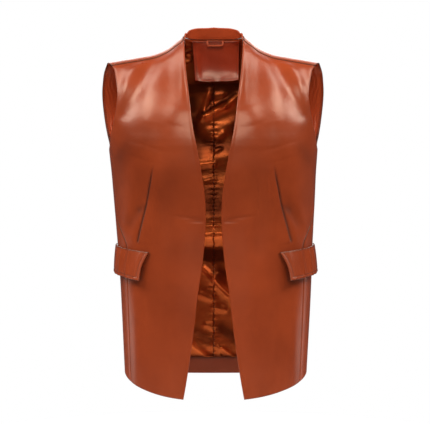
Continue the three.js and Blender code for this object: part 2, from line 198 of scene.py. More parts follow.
body_half, body_front, body_back, body_square, seam_angle = (smooth(BODY, i) for i in range(1, 6))
chest_spread, chest_depth, chest_hole = (smooth(CHEST, i) for i in range(1, 4))
blade_spread, blade_depth, blade_hole = (smooth(BLADES, i) for i in range(1, 4))
shoulder_ridge = smooth(RIDGE, 1)
front_gap = smooth(FRONT_GAP, 1)
sway = smooth(SWAY, 1)


def squared(value, squareness=SQUARENESS):
    """Width or depth share of a squared ring from the sine or cosine of its angle."""
    return np.sign(value) * np.abs(value) ** (2 / squareness)


def angle_of(share):
    return np.degrees(np.arcsin(np.clip(share, 0, 1) ** (SQUARENESS / 2)))


def depth_share(share):
    return squared(np.cos(np.radians(angle_of(share))))


def body_place(level, angle):
    """A point under the armpits, by its level and its angle round from the front."""
    turn = np.radians(angle)
    ahead = angle < 90
    squareness = np.where(ahead, SQUARENESS, body_square(level))
    out = body_half(level) * squared(np.sin(turn), squareness)
    depth = squared(np.cos(turn), squareness)
    reach = np.where(ahead, body_front(level), body_back(level))
    front_drop = FRONT_POINT_DROP * np.maximum(depth, 0) ** HEM_CURVE_POWER
    drop = np.where(ahead, front_drop, -BACK_HEM_DROP * depth)
    curve = eased((HEM_CURVE_START - level) / (HEM_CURVE_START - HEM))
    return np.stack([out, -reach * depth, level - drop * curve], axis=-1)


def chest_height(rise, out):
    return mix(ARMPIT, shoulder_ridge(out), rise)


def back_height(rise, out):
    power = NECK_LIFT_RISE / (1 - NECK_LIFT_RISE)
    share = (rise / NECK_LIFT_RISE) ** power * (1 - rise) / (1 - NECK_LIFT_RISE)
    return chest_height(rise, out) + NECK_LIFT * share * (1 - eased(out / NECK_LIFT_REACH))


def chest_place(rise, out):
    """A point of the front over the armpits, by its rise and its distance out."""
    share = depth_share(out / chest_spread(rise))
    return np.stack([out, -chest_depth(rise) * share, chest_height(rise, out)], axis=-1)


def blade_place(rise, out):
    share = depth_share(out / blade_spread(rise))
    return np.stack([out, blade_depth(rise) * share, back_height(rise, out)], axis=-1)


def neck_depth(out):
    return NECK_BACK * depth_share(out / NECK_HALF)


HALVINGS = 40


def rise_where(value, target):
    """The rise at which a steadily growing value reaches its target, found by halving."""
    low = np.zeros_like(target)
    high = np.ones_like(target)
    for _ in range(HALVINGS):
        middle = (low + high) / 2
        short = value(middle) < target
        low = np.where(short, middle, low)
        high = np.where(short, high, middle)
    return low


def neck_rise(out):
    """The rise at which the back reaches the neck seam."""
    inside = np.minimum(out, NECK_HALF)
    depth = -neck_depth(inside)
    rise = rise_where(lambda at: -blade_depth(at) * depth_share(inside / blade_spread(at)), depth)
    return np.where(out < NECK_HALF, rise, 1.0)


def seam_trim(level):
    """Half the gap of the side seam, as an angle that allows for the seam's slope."""
    millimetre = 0.001
    here = body_place(level, seam_angle(level))
    round_step = np.linalg.norm(body_place(level, seam_angle(level) + 1) - here, axis=-1)
    climbed = body_place(level + millimetre, seam_angle(level + millimetre))
    climb_step = np.linalg.norm(climbed - here, axis=-1) / millimetre
    return SEWN_GAP / 2 * climb_step / round_step


def front_place(climb, share):
    """A point of the left front, by its climb from the hem and its share from front edge to side."""
    level = HEM + np.minimum(climb, BODY_LENGTH)
    start = angle_of(front_gap(level) / body_half(level))
    low = body_place(level, mix(start, seam_angle(level) - seam_trim(level), share))
    rise = np.clip((climb - BODY_LENGTH) / RISE_LENGTH, 0, 1)
    spread = chest_spread(rise)
    start = angle_of(front_gap(mix(ARMPIT, NECK_SIDE_HEIGHT, rise)) / spread)
    end = angle_of(chest_hole(rise) / spread) - np.degrees(SEWN_GAP / 2 / spread)
    out = spread * squared(np.sin(np.radians(mix(start, end, share))))
    return np.where((climb < BODY_LENGTH)[..., None], low, chest_place(rise, out))


def shoulder_out(share, hole):
    """Distance out at the ridge of a share of the back from its centre to its side."""
    neck = NECK_HALF * squared(np.sin(np.radians(90 * np.minimum(share / NECK_SHARE, 1))))
    beyond = mix(NECK_HALF, hole, (share - NECK_SHARE) / (1 - NECK_SHARE))
    return np.where(share <= NECK_SHARE, neck, beyond)


def back_place(climb, share):
    """A point of the back's left half, by its climb from the hem and its share from centre to side.
    Past the ridge it goes on down the front to the forward shoulder seam."""
    level = HEM + np.minimum(climb, BODY_LENGTH)
    low = body_place(level, 180 - (180 - seam_angle(level) - seam_trim(level)) * share)
    rise = np.clip((climb - BODY_LENGTH) / RISE_LENGTH, 0, 1)
    spread = blade_spread(rise)
    sweep = angle_of(blade_hole(rise) / spread) - np.degrees(SEWN_GAP / 2 / spread)
    top = shoulder_out(share, blade_hole(rise))
    side_out = spread * squared(np.sin(np.radians(sweep * share)))
    high = blade_place(rise * neck_rise(top), mix(side_out, top, eased(rise / COLUMN_TURN_RISE)))
    fall = np.clip((climb - BODY_LENGTH - RISE_LENGTH) / STRIP_LENGTH, 0, 1)
    seam_rise = SHOULDER_SEAM_RISE + SEWN_GAP / 2 / -ARMPIT
    strip_rise = mix(1, seam_rise, fall)
    strip = chest_place(strip_rise, np.maximum(shoulder_out(share, chest_hole(strip_rise)), NECK_HALF))
    over = (climb > BODY_LENGTH + RISE_LENGTH)[..., None]
    return np.where((climb < BODY_LENGTH)[..., None], low, np.where(over, strip, high))


def grid(place, climb, share):
    """Points of a surface in rows of climb and columns of share."""
    return place(*np.meshgrid(climb, share, indexing="ij"))


# Steps from a panel's edge to the start of its even columns, for the rounded edge
EDGE_STEPS = (0.0, 0.00015, 0.0004, 0.0008, 0.0014)


def spaced(length, step):
    """Places along a length: fine at both ends, for the rounded edges, and even between them."""
    near = np.array(EDGE_STEPS[:-1])
    count = max(round(length / step), 2)
    middle = np.linspace(EDGE_STEPS[-1], length - EDGE_STEPS[-1], count)
    return np.concatenate([near, middle, length - near[::-1]])


def shares(length, step):
    """The same places as shares of the length."""
    return spaced(length, step) / length


# Keeps the normals of cells with no size, which are left out later, from dividing by zero
SMALLEST_TURN = 1e-12

# Share of a wall that is left at its very edge
RIM_LEAST = 0.08


class Panel:
    """A grid of points on the figure, rows up and columns round, with normals that face out.
    near and far are the distances from a left piece's first and last edges, and from the mirror
    images of those on the right, where side is -1."""

    def __init__(self, points, side=1):
        self.points = points
        self.side = side
        turned = np.cross(np.gradient(points, axis=1), np.gradient(points, axis=0))
        self.normals = turned / np.maximum(np.linalg.norm(turned, axis=2, keepdims=True), SMALLEST_TURN)
        across = np.linalg.norm(np.diff(points, axis=1), axis=2)
        up = np.linalg.norm(np.diff(points, axis=0), axis=2)
        self.from_first = np.pad(np.cumsum(across, axis=1), ((0, 0), (1, 0)))
        self.from_last = self.from_first[:, -1:] - self.from_first
        self.from_foot = np.pad(np.cumsum(up, axis=0), ((1, 0), (0, 0)))
        self.from_top = self.from_foot[-1:] - self.from_foot
        self.near, self.far = (self.from_first, self.from_last)[::side]
        self.x, self.y, self.z = np.moveaxis(points, -1, 0)

    def nearest(self, edges=("first", "last", "foot", "top")):
        """Distance from the nearest of some edges."""
        return np.min([getattr(self, f"from_{edge}") for edge in edges], axis=0)

    def rim(self, wall):
        """Share of the half wall that is left near the edges, so that they are round."""
        held = np.clip(self.nearest() / (wall / 2), 0, 1)
        return np.maximum(np.sqrt(1 - (1 - held) ** 2), RIM_LEAST)

    def moved(self, distance):
        """The points moved out, with the body's sway."""
        places = self.points + self.normals * distance[..., None]
        places[..., 0] += sway(self.z) * (self.x / SWAY_HALF) ** 2
        return places


def mirrored(points):
    return points[:, ::-1] * np.array([-1, 1, 1])


def fold_lift(folds, x, z, fade=0.0):
    """Height of soft folds at a place: the sum of a ridge, or a trough, along each one's line.
    A fold is its two ends, its height and its width. fade is how much of the height its ends lose."""
    lift = np.zeros_like(x)
    for x1, z1, x2, z2, height, width in folds:
        dx = x2 - x1
        dz = z2 - z1
        share = np.clip(((x - x1) * dx + (z - z1) * dz) / (dx * dx + dz * dz), 0, 1)
        away = np.hypot(x - x1 - dx * share, z - z1 - dz * share)
        lift += height * (1 - fade * np.abs(2 * share - 1) ** 3) * np.exp(-((away / width) ** 2))
    return lift


def line_shade(distance, width):
    """From 1 on a line to 0 away from it."""
    return np.exp(-((distance / width) ** 2))


def edge_line(distance, line):
    """A line along an edge, as its height or darkness, its distance in and its width."""
    height, inset, width = line
    return height * line_shade(distance - inset, width)


def object_of(name, vertices, faces, materials, face_materials=None):
    mesh = bpy.data.meshes.new(name)
    mesh.from_pydata(vertices.tolist(), [], faces.tolist())
    for material in materials:
        mesh.materials.append(material)
    if face_materials is not None:
        mesh.polygons.foreach_set("material_index", face_materials.astype(np.int32))
    mesh.polygons.foreach_set("use_smooth", np.ones(len(faces), bool))
    mesh.update()
    piece = bpy.data.objects.new(name, mesh)
    bpy.context.collection.objects.link(piece)
    return piece


def add_shade(piece, values):
    piece.data.attributes.new("shade", "FLOAT", "POINT").data.foreach_set("value", values)


def shell(name, outer, inner, materials, keep=None, shade=0.0):
    """A closed shell between two grids of points. Its outside and rim take the first material and
    its inside the last. keep says which cells it has, and shade how much painted shade each point has."""
    rows, columns = outer.shape[:2]
    count = rows * columns
    index = np.arange(count).reshape(rows, columns)
    cells = np.stack([index[:-1, :-1], index[:-1, 1:], index[1:, 1:], index[1:, :-1]], axis=-1)
    quads = cells.reshape(-1, 4) if keep is None else cells[keep]
    edges = np.concatenate([quads[:, [k, (k + 1) % 4]] for k in range(4)])
    forward = edges[:, 0] * count + edges[:, 1]
    backward = edges[:, 1] * count + edges[:, 0]
    start, end = edges[~np.isin(forward, backward)].T
    rim = np.stack([end, start, start + count, end + count], axis=-1)
    faces = np.concatenate([quads, rim, quads[:, ::-1] + count])
    inside = np.arange(len(faces)) >= len(quads) + len(rim)
    used, slots = np.unique(faces, return_inverse=True)
    vertices = np.concatenate([outer.reshape(-1, 3), inner.reshape(-1, 3)])[used]
    piece = object_of(name, vertices, slots.reshape(-1, 4), materials, inside * (len(materials) - 1))
    add_shade(piece, np.tile(np.broadcast_to(shade, outer.shape[:2]).ravel(), 2)[used])
    return piece


def tube_faces(rings, sides):
    """Faces round a tube of rings of points."""
    a = np.arange((rings - 1) * sides).reshape(rings - 1, sides)
    b = np.roll(a, -1, axis=1)
    return np.stack([a, b, b + sides, a + sides], axis=-1).reshape(-1, 4)


def cap_faces(ring):
    """Faces across a tube's end, between the two halves of its ring."""
    j = np.arange(len(ring) // 2 - 1)
    return np.stack([ring[j], ring[j + 1], ring[-j - 2], ring[-j - 1]], axis=-1)


# A stitch's rings and sides, how far it thins at its ends, and how high it stands for its radius
STITCH_RINGS = 7
STITCH_SIDES = 6
STITCH_TAPER = 0.94
STITCH_HEIGHT = 1.6


def stitches(name, path, normals, sewing):
    """A row of raised stitches along a path, each a short thread that dips at its ends."""
    pitch, length, radius, material = sewing
    along = np.pad(np.cumsum(np.linalg.norm(np.diff(path, axis=0), axis=1)), (1, 0))
    centres = np.arange(pitch / 2, along[-1] - length / 2, pitch)
    share = np.linspace(-1, 1, STITCH_RINGS)
    at = centres[:, None] + share * length / 2
    points = np.stack([np.interp(at, along, path[:, k]) for k in range(3)], axis=-1)
    up = np.stack([np.interp(at, along, normals[:, k]) for k in range(3)], axis=-1)
    up /= np.linalg.norm(up, axis=-1, keepdims=True)
    side = np.cross(np.gradient(points, axis=1), up)
    side /= np.linalg.norm(side, axis=-1, keepdims=True)
    bulge = np.sqrt(1 - (STITCH_TAPER * share) ** 2)
    points = points + up * (radius * (STITCH_HEIGHT * bulge - 1))[None, :, None]
    turn = np.linspace(0, 2 * np.pi, STITCH_SIDES, endpoint=False)
    ring = side[:, :, None] * np.cos(turn)[:, None] + up[:, :, None] * np.sin(turn)[:, None]
    vertices = (points[:, :, None] + (radius * bulge)[None, :, None, None] * ring).reshape(-1, 3)
    first = np.arange(len(centres)) * STITCH_RINGS * STITCH_SIDES
    faces = first[:, None, None] + tube_faces(STITCH_RINGS, STITCH_SIDES)[:, ::-1]
    piece = object_of(name, vertices, faces.reshape(-1, 4), [material])
    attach(piece, "root")
    return piece


def fill(owner, node, **inputs):
    """Sets a node's inputs by name. A socket is linked and any other value is set."""
    for key, value in inputs.items():
        socket = node.inputs[key.replace("_", " ")]
        if isinstance(value, bpy.types.NodeSocket):
            owner.node_tree.links.new(value, socket)
        else:
            socket.default_value = value


def node_of(owner, kind, **inputs):
    """A new shader node of a material or world, with its inputs set."""
    node = owner.node_tree.nodes.new(kind)
    fill(owner, node, **inputs)
    return node


def ranged(material, value, low, high):
    """A 0 to 1 value spread from low to high."""
    node = node_of(material, "ShaderNodeMapRange", Value=value, To_Min=low, To_Max=high)
    return node.outputs["Result"]


# Where in a 0 to 1 noise the dark colour ends and the light one starts
BLEND_PLACES = (0.3, 0.7)


def blended(material, share, dark, light):
    ramp = node_of(material, "ShaderNodeValToRGB", Fac=share)
    for element, place, colour in zip(ramp.color_ramp.elements, BLEND_PLACES, (dark, light)):
        element.position = place
        element.color = (*colour, 1)
    return ramp.outputs["Color"]


def noise_of(material, coordinates, scale, detail=4):
    node = node_of(
        material, "ShaderNodeTexNoise", Vector=coordinates, Scale=scale, Detail=detail, Roughness=0.55
    )
    return node.outputs["Fac"]


def bumped(material, heights):
    """The normal after several bumps, each a height socket with its distance in metres."""
    normal = None
    for height, distance in heights:
        bump = node_of(material, "ShaderNodeBump", Height=height, Distance=distance, Strength=1)
        if normal is not None:
            fill(material, bump, Normal=normal)
        normal = bump.outputs["Normal"]
    return normal


def new_material(name):
    material = bpy.data.materials.new(name)
    material.use_nodes = True
    shader = material.node_tree.nodes["Principled BSDF"]
    coordinates = node_of(material, "ShaderNodeTexCoord").outputs["Object"]
    return material, shader, coordinates


def shaded(material, start, end):
    """From the start to the end where the piece's shade attribute, its painted shade, goes from 0 to 1."""
    shade = node_of(material, "ShaderNodeAttribute")
    shade.attribute_name = "shade"
    mixed = node_of(material, "ShaderNodeMixRGB", Fac=shade.outputs["Fac"], Color1=start, Color2=(*end, 1))
    return mixed.outputs["Color"]


# Colours. The facing and patch colours are brighter copies of the leather: painted light for places
# that lie in shade. The two shade colours are painted shade, which each piece's shade attribute mixes in.
LEATHER_DARK = (0.25, 0.034, 0.008)
LEATHER_LIGHT = (0.36, 0.052, 0.012)
LIT_FACING_DARK = (0.46, 0.058, 0.014)
LIT_FACING_LIGHT = (0.6, 0.082, 0.02)
LIT_PATCH_DARK = (0.4, 0.04, 0.012)
LIT_PATCH_LIGHT = (0.52, 0.058, 0.017)
SATIN_DARK = (0.6, 0.092, 0.018)
SATIN_LIGHT = (0.8, 0.172, 0.037)
SATIN_SHADE = (0.05, 0.006, 0.002)
# Painted shade: the colour that a leather piece's shade attribute mixes in
LEATHER_PAINTED_SHADE = (0.052, 0.007, 0.0022)
SEAM_ROUGHNESS = (0.5, 0.5, 0.5)
DARK_THREAD = (0.05, 0.011, 0.005)
BROWN_THREAD = (0.17, 0.035, 0.014)
LEATHER_TINT = (1.0, 0.75, 0.55, 1)
SATIN_TINT = (1.0, 0.45, 0.2, 1)
SHEEN_TINT = (1.0, 0.5, 0.25, 1)
WHITE = (1, 1, 1, 1)

# Textures: waves per metre, and height in metres where they are relief
DYE_SCALE = 9
CREASE_SCALE = 55
CREASE_HEIGHT = 0.00025
GRAIN_SCALE = 420
GRAIN_HEIGHT = 0.00005
PORE_SCALE = 900
PORE_HEIGHT = 0.00004
SATIN_DYE_SCALE = 25
SATIN_CREASE_SCALE = 48
SATIN_CREASE_HEIGHT = 0.0013
THREAD_STRETCH = (60, 60, 1600)
THREAD_HEIGHT = 0.00004
FIBRE_SCALE = 2500
THREAD_DARKEST = 0.7


def leather_material(name, dark, light, gloss, specular):
    """Smooth grained leather: fine pores, soft uneven dye, and painted shade from the shade attribute in
    seams, creases, edges and shadowed places. gloss is its roughness from the low creases to the high ones."""
    material, shader, coordinates = new_material(name)
    dye = noise_of(material, coordinates, DYE_SCALE, detail=5)
    creases = noise_of(material, coordinates, CREASE_SCALE)
    grain = noise_of(material, coordinates, GRAIN_SCALE, detail=3)
    pores = node_of(material, "ShaderNodeTexVoronoi", Vector=coordinates, Scale=PORE_SCALE)
    heights = ((creases, CREASE_HEIGHT), (grain, GRAIN_HEIGHT), (pores.outputs["Distance"], PORE_HEIGHT))
    fill(
        material,
        shader,
        Base_Color=shaded(material, blended(material, dye, dark, light), LEATHER_PAINTED_SHADE),
        Roughness=shaded(material, ranged(material, creases, *gloss), SEAM_ROUGHNESS),
        Specular_IOR_Level=specular,
        Specular_Tint=LEATHER_TINT,
        IOR=1.5,
        Normal=bumped(material, heights),
    )
    return material


def satin_material(name, dark, light, gloss):
    """Satin: fine threads across, a soft sheen, a slightly uneven dye and painted shade from the shade
    attribute. gloss is its roughness from the low threads to the high ones."""
    material, shader, coordinates = new_material(name)
    stretch = node_of(material, "ShaderNodeMapping", Vector=coordinates, Scale=THREAD_STRETCH)
    threads = noise_of(material, stretch.outputs["Vector"], 1, detail=2)
    dye = noise_of(material, coordinates, SATIN_DYE_SCALE)
    creases = noise_of(material, coordinates, SATIN_CREASE_SCALE, detail=3)
    fill(
        material,
        shader,
        Base_Color=shaded(material, blended(material, dye, dark, light), SATIN_SHADE),
        Roughness=ranged(material, threads, *gloss),
        Metallic=0.75,
        Specular_Tint=SATIN_TINT,
        Sheen_Weight=0.05,
        Sheen_Roughness=0.4,
        Sheen_Tint=SHEEN_TINT,
        Normal=bumped(material, ((creases, SATIN_CREASE_HEIGHT), (threads, THREAD_HEIGHT))),
    )
    return material


def thread_material(name, colour):
    material, shader, coordinates = new_material(name)
    fibres = noise_of(material, coordinates, FIBRE_SCALE, detail=2)
    dark = tuple(part * THREAD_DARKEST for part in colour)
    fill(material, shader, Base_Color=blended(material, fibres, dark, colour), Roughness=0.6)
    return material


leather = leather_material("leather", LEATHER_DARK, LEATHER_LIGHT, gloss=(0.34, 0.25), specular=0.62)
# Painted light: the facing leather is a brighter copy of the leather, for the facings and insides in shade
facing_leather = leather_material(
    "facing_leather", LIT_FACING_DARK, LIT_FACING_LIGHT, gloss=(0.5, 0.34), specular=0.35
)
# Painted light: the patch leather is a brighter copy of the leather, for the patch in shade under the neck
lit_patch_leather = leather_material("lit_patch_leather", LIT_PATCH_DARK, LIT_PATCH_LIGHT, gloss=(0.38, 0.27), specular=0.9)
satin = satin_material("satin_lining", SATIN_DARK, SATIN_LIGHT, gloss=(0.30, 0.42))
dark_thread = thread_material("dark_thread", DARK_THREAD)
brown_thread = thread_material("brown_thread", BROWN_THREAD)

# What each kind of piece is made of: wall, slot, materials outside and inside, width and height of
# its cut laid flat, and the cut's area
KINDS = {
    "front": (LEATHER, "leather", (leather, facing_leather), (0.24, 0.72), 0.124),
    "back": (LEATHER, "leather", (leather, facing_leather), (0.62, 0.72), 0.391),
    "lining": (LINING_WALL, "satin_lining", (satin,), (0.31, 0.64), 0.169),
    "hem_facing": (FACING_WALL, "facing_leather", (facing_leather,), (0.66, 0.033), 0.021),
    "armhole_facing": (FACING_WALL, "facing_leather", (facing_leather,), (0.034, 0.24), 0.0066),
    "pocket_flap": (FLAP_WALL, "leather", (leather,), (0.14, 0.064), 0.0083),
    "neck_patch": (FACING_WALL, "facing_leather", (lit_patch_leather,), (0.094, 0.084), 0.0076),
    "neck_band": (BAND_WALL, "leather", (leather, facing_leather), (0.26, 0.032), 0.0046),
    "hanging_loop": (FACING_WALL, "facing_leather", (facing_leather,), (0.01, 0.06), 0.0003),
}

# Rows of stitches: pitch, length, radius and thread
LINING_SEWING = (0.0071, 0.0034, 0.0005, dark_thread)
FACING_SEWING = (0.005, 0.003, 0.0006, dark_thread)
FLAP_SEWING = (0.0034, 0.0025, 0.00035, brown_thread)


def kind_of(node):
    return KINDS[node.removesuffix("_left").removesuffix("_right")]


def both(kind, points):
    """Nodes and panels of a left piece and of its mirror image on the right."""
    return (f"{kind}_left", Panel(points)), (f"{kind}_right", Panel(mirrored(points), -1))


def cloth(node, panel, middle, shade, relief=0, inner_relief=0, keep=None):
    """A node's shell, its wall laid about the panel moved out by middle, with round edges.
    relief is what its outside gains and inner_relief its inside."""
    wall, _, materials, _, _ = kind_of(node)
    half = wall / 2 * panel.rim(wall)
    outer = panel.moved(middle + relief + half)
    inner = panel.moved(middle + inner_relief - half)
    return shell(node, outer, inner, materials, keep, np.clip(shade, 0, 1)), outer, inner


def finish_piece(piece, node, rows=()):
    """Puts a piece in its solid's place: hangs it from the root and hides its solid. Its rows of stitches
    are not used.
    """
    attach(piece, "root")
    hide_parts(node)


# Soft folds of the left front: two ends (x, z), height and width. A trough's height is negative.
FRONT_FOLDS = (
    (0.144, -0.036, 0.194, -0.134, 0.004, 0.0145),
    (0.116, -0.036, 0.174, -0.148, -0.005, 0.018),
    (0.114, -0.01, 0.124, -0.19, 0.0062, 0.034),
    (0.066, -0.136, 0.076, -0.176, 0.0034, 0.024),
    (0.108, -0.17, 0.114, -0.215, -0.0026, 0.018),
    (0.134, -0.215, 0.142, -0.24, 0.003, 0.034),
    (0.108, -0.262, 0.118, -0.39, 0.0022, 0.014),
    (0.084, -0.28, 0.09, -0.42, -0.0022, 0.018),
    (0.182, -0.245, 0.19, -0.34, -0.0024, 0.018),
    (0.14, -0.322, 0.168, -0.368, -0.004, 0.012),
    (0.147, -0.35, 0.16, -0.398, 0.0026, 0.009),
    (0.062, -0.4, 0.08, -0.64, 0.0018, 0.026),
    (0.12, -0.46, 0.128, -0.7, -0.002, 0.026),
    (0.15, -0.52, 0.152, -0.68, 0.0014, 0.018),
)

# The right front's folds are a little lower and wider
RIGHT_FOLD_HEIGHT = 0.88
RIGHT_FOLD_WIDTH = 1.07

# How much of a fold's height its ends lose, and how far from the shoulder and side seams it is whole
FOLD_FADE = 0.4
FOLD_FREE_TOP = 0.035
FOLD_FREE_SIDE = 0.025

# Painted shade on the left front, for places that lie away from the light and for the flap's shadow: two
# ends, darkness and width
FRONT_PAINTED_SHADE = (
    (0.12, -0.196, 0.15, -0.206, 0.16, 0.022),
    (0.176, -0.218, 0.186, -0.236, 0.22, 0.014),
    (0.19, -0.24, 0.19, -0.38, 0.14, 0.014),
    (0.14, -0.334, 0.15, -0.34, 0.3, 0.007),
    (0.148, -0.344, 0.168, -0.366, 0.26, 0.011),
    (0.08, -0.25, 0.086, -0.42, 0.1, 0.016),
    (0.13, -0.429, 0.1385, -0.447, 0.52, 0.0042),
    (0.1415, -0.455, 0.1465, -0.478, 0.66, 0.0048),
    (0.153, -0.4835, 0.192, -0.465, 0.38, 0.0042),
    (0.11, -0.52, 0.12, -0.72, 0.05, 0.04),
    (0.02, -0.7, 0.2, -0.7, 0.14, 0.13),
    (0.186, -0.56, 0.18, -0.68, 0.12, 0.02),
)

# The long dart: its ends, its bow, the step down to its side, and the shares of its length over
# which its sewing starts and ends
DART_TOP = (0.1164, -0.2480)
DART_FOOT = (0.1521, -0.4050)
DART_BOW = 0.0016
DART_STEP = 0.0016
DART_STEP_REACH = 0.012
DART_DIP_SHARE = 0.5
DART_DIP_REACH = 0.010
DART_START = 0.25
DART_END = 0.03
DART_END_SHARE = 1.01

# Short creases at the waist's front edge, and the shares over which they start and end
WAIST_CREASES = (
    ((0.016, -0.3605), (0.098, -0.35)),
    ((0.016, -0.364), (0.06, -0.362)),
)
CREASE_START = 0.15
CREASE_END = 0.6

# Lines along seams and edges: height, or darkness of painted shade, distance in, width
DART_GROOVE = (-0.0020, 0, 0.0021)
DART_SHADE = (1, -0.0003, 0.0021)
CREASE_GROOVE = (-0.0011, 0, 0.0020)
CREASE_SHADE = (0.16, 0, 0.0016)
EDGE_BEAD = (0.0008, 0.0018, 0.0016)
EDGE_DIP = (-0.0002, 0.0060, 0.0024)
FRONT_SEAM_GROOVE = (-0.0009, 0, 0.0025)
FRONT_SEAM_SHADE = (1, 0, 0.0020)
BACK_SEAM_GROOVE = (-0.0008, 0, 0.0025)
BACK_SEAM_SHADE = (1, 0, 0.0018)
SHOULDER_GROOVE = (-0.0007, 0, 0.0025)
SHOULDER_SHADE = (0.95, 0, 0.0019)
ARMHOLE_SHADE = (0.3, 0, 0.0016)
HEM_SHADE = (0.5, 0, 0.0012)
STRIP_BEAD = (0.0010, 0.0040, 0.0022)
STRIP_SHADE = (0.9, 0, 0.0014)

# The side seam shows most above the flap, and loses some of its strength below this level
SEAM_STRENGTH = 0.9
SEAM_FADE_LEVEL = -0.40
SEAM_FADE_LENGTH = 0.05
FRONT_SEAM_LOSS = 0.8
BACK_SEAM_LOSS = 0.7

# The fronts' grid: width, steps up and across, closer steps about the dart and where they run
FRONT_WIDTH = 0.24
FRONT_ROW = 0.0027
FRONT_COLUMN = 0.0028
DART_COLUMN = 0.0011
DART_SHARES = (0.27, 0.77)
DART_MARGIN = 0.002


def line_parts(x, z, start, end):
    """Share along a line, and signed distance from it."""
    dx = end[0] - start[0]
    dz = end[1] - start[1]
    length = np.hypot(dx, dz)
    share = ((x - start[0]) * dx + (z - start[1]) * dz) / length**2
    return share, ((x - start[0]) * dz - (z - start[1]) * dx) / length


def dart_form(x, z):
    """Lift and shade of the dart: the step down to its side and the groove of its seam."""
    share, away = line_parts(x, z, DART_TOP, DART_FOOT)
    away = away - DART_BOW * 4 * share * (1 - share)
    sewn = eased(share / DART_START) * eased((DART_END_SHARE - share) / DART_END)
    high = np.exp(-away / DART_STEP_REACH)
    low = -DART_DIP_SHARE * np.exp(away / DART_DIP_REACH)
    lift = DART_STEP * np.where(away > 0, high, low) + edge_line(away, DART_GROOVE)
    return lift * sewn, edge_line(away, DART_SHADE) * sewn


def crease_form(x, z):
    """Lift and shade of the creases at the waist."""
    lift = np.zeros_like(x)
    shade = np.zeros_like(x)
    for start, end in WAIST_CREASES:
        share, away = line_parts(x, z, start, end)
        strength = eased(share / CREASE_START) * eased((1 - share) / CREASE_END)
        lift += strength * edge_line(away, CREASE_GROOVE)
        shade += strength * edge_line(away, CREASE_SHADE)
    return lift, shade


def seam_strength(z, loss):
    return SEAM_STRENGTH - loss * eased((SEAM_FADE_LEVEL - z) / SEAM_FADE_LENGTH)


def front_form(panel):
    """Lift and shade of a front: its folds, dart, waist creases and edges."""
    x = panel.x * panel.side
    z = panel.z
    folds = FRONT_FOLDS
    if panel.side < 0:
        folds = [(*row[:4], row[4] * RIGHT_FOLD_HEIGHT, row[5] * RIGHT_FOLD_WIDTH) for row in FRONT_FOLDS]
    free = eased(panel.from_top / FOLD_FREE_TOP) * eased(panel.far / FOLD_FREE_SIDE)
    dart_lift, dart_shade = dart_form(x, z)
    crease_lift, crease_shade = crease_form(x, z)
    strength = seam_strength(z, FRONT_SEAM_LOSS)
    lift = fold_lift(folds, x, z, FOLD_FADE) * free + dart_lift + crease_lift
    lift += edge_line(panel.near, EDGE_BEAD) + edge_line(panel.near, EDGE_DIP)
    lift += strength * edge_line(panel.far, FRONT_SEAM_GROOVE) + edge_line(panel.from_top, SHOULDER_GROOVE)
    # Painted shade: dark lines in the side and shoulder seams, along the armhole and hem, on the dart and
    # creases
    seam_shade = strength * edge_line(panel.far, FRONT_SEAM_SHADE)
    shade = np.where(z < ARMPIT, seam_shade, edge_line(panel.far, ARMHOLE_SHADE))
    shade += fold_lift(FRONT_PAINTED_SHADE, x, z) + dart_shade + crease_shade
    shade += edge_line(panel.from_top, SHOULDER_SHADE) + edge_line(panel.from_foot, HEM_SHADE)
    return lift, shade


def build_fronts():
    top = BODY_LENGTH + RISE_LENGTH * (SHOULDER_SEAM_RISE - SEWN_GAP / 2 / -ARMPIT)
    first, last = DART_SHARES
    even = shares(FRONT_WIDTH, FRONT_COLUMN)
    dart = np.arange(first, last, DART_COLUMN / FRONT_WIDTH)
    share = np.concatenate([even[even < first - DART_MARGIN], dart, even[even > last + DART_MARGIN]])
    for node, panel in both("front", grid(front_place, spaced(top, FRONT_ROW), share)):
        lift, shade = front_form(panel)
        piece, _, _ = cloth(node, panel, lift - LEATHER / 2, shade)
        finish_piece(piece, node)


# Soft folds of the back, with x to the wearer's left
BACK_FOLDS = (
    (-0.12, -0.362, 0.09, -0.352, -0.0022, 0.016),
    (-0.15, -0.384, 0.04, -0.392, 0.0024, 0.018),
    (-0.06, -0.33, 0.15, -0.342, 0.002, 0.017),
    (0.15, -0.21, 0.06, -0.262, 0.002, 0.02),
    (-0.16, -0.205, -0.07, -0.268, 0.0022, 0.021),
    (0.168, -0.13, 0.11, -0.175, -0.0018, 0.017),
    (-0.172, -0.14, -0.105, -0.185, -0.0018, 0.018),
    (0.05, -0.43, 0.064, -0.63, 0.0026, 0.03),
    (-0.078, -0.44, -0.088, -0.64, 0.0024, 0.028),
    (-0.01, -0.45, -0.014, -0.64, -0.0018, 0.026),
    (0.12, -0.44, 0.134, -0.64, -0.002, 0.026),
    (-0.14, -0.43, -0.15, -0.63, -0.0016, 0.024),
)

# How far behind the side seams the folds are whole
BACK_FOLDS_START = 0.05

# The back's grid: width of one half, step, and rows of the strip over the shoulder
BACK_WIDTH = 0.31
BACK_STEP = 0.0032
STRIP_ROWS = 9

# Painted shade at each end of the neck seam, which dims a glint there: darkness, distance out and width,
# and where it lies in depth and height
NECK_END_SHADE = (0.9, NECK_HALF, 0.0022)
NECK_END_DEPTH = 0.012
NECK_END_FADE = 0.01
NECK_END_FOOT = -0.02


def back_lift(panel):
    return fold_lift(BACK_FOLDS, panel.x, panel.z) * eased(panel.y / BACK_FOLDS_START)


def back_dent(panel):
    """How far the back's troughs push in what lies inside."""
    return np.maximum(-back_lift(panel), 0)


def back_grid(climb, share):
    """The whole back's points, from the wearer's left over the centre to the right."""
    turned = np.stack([np.sign(share), np.ones_like(share), np.ones_like(share)], axis=-1)
    return grid(back_place, climb, np.abs(share)) * turned


def back_half(climb, share):
    """Points of the back's left half, from the side to the centre."""
    return grid(back_place, climb, share)[:, ::-1]


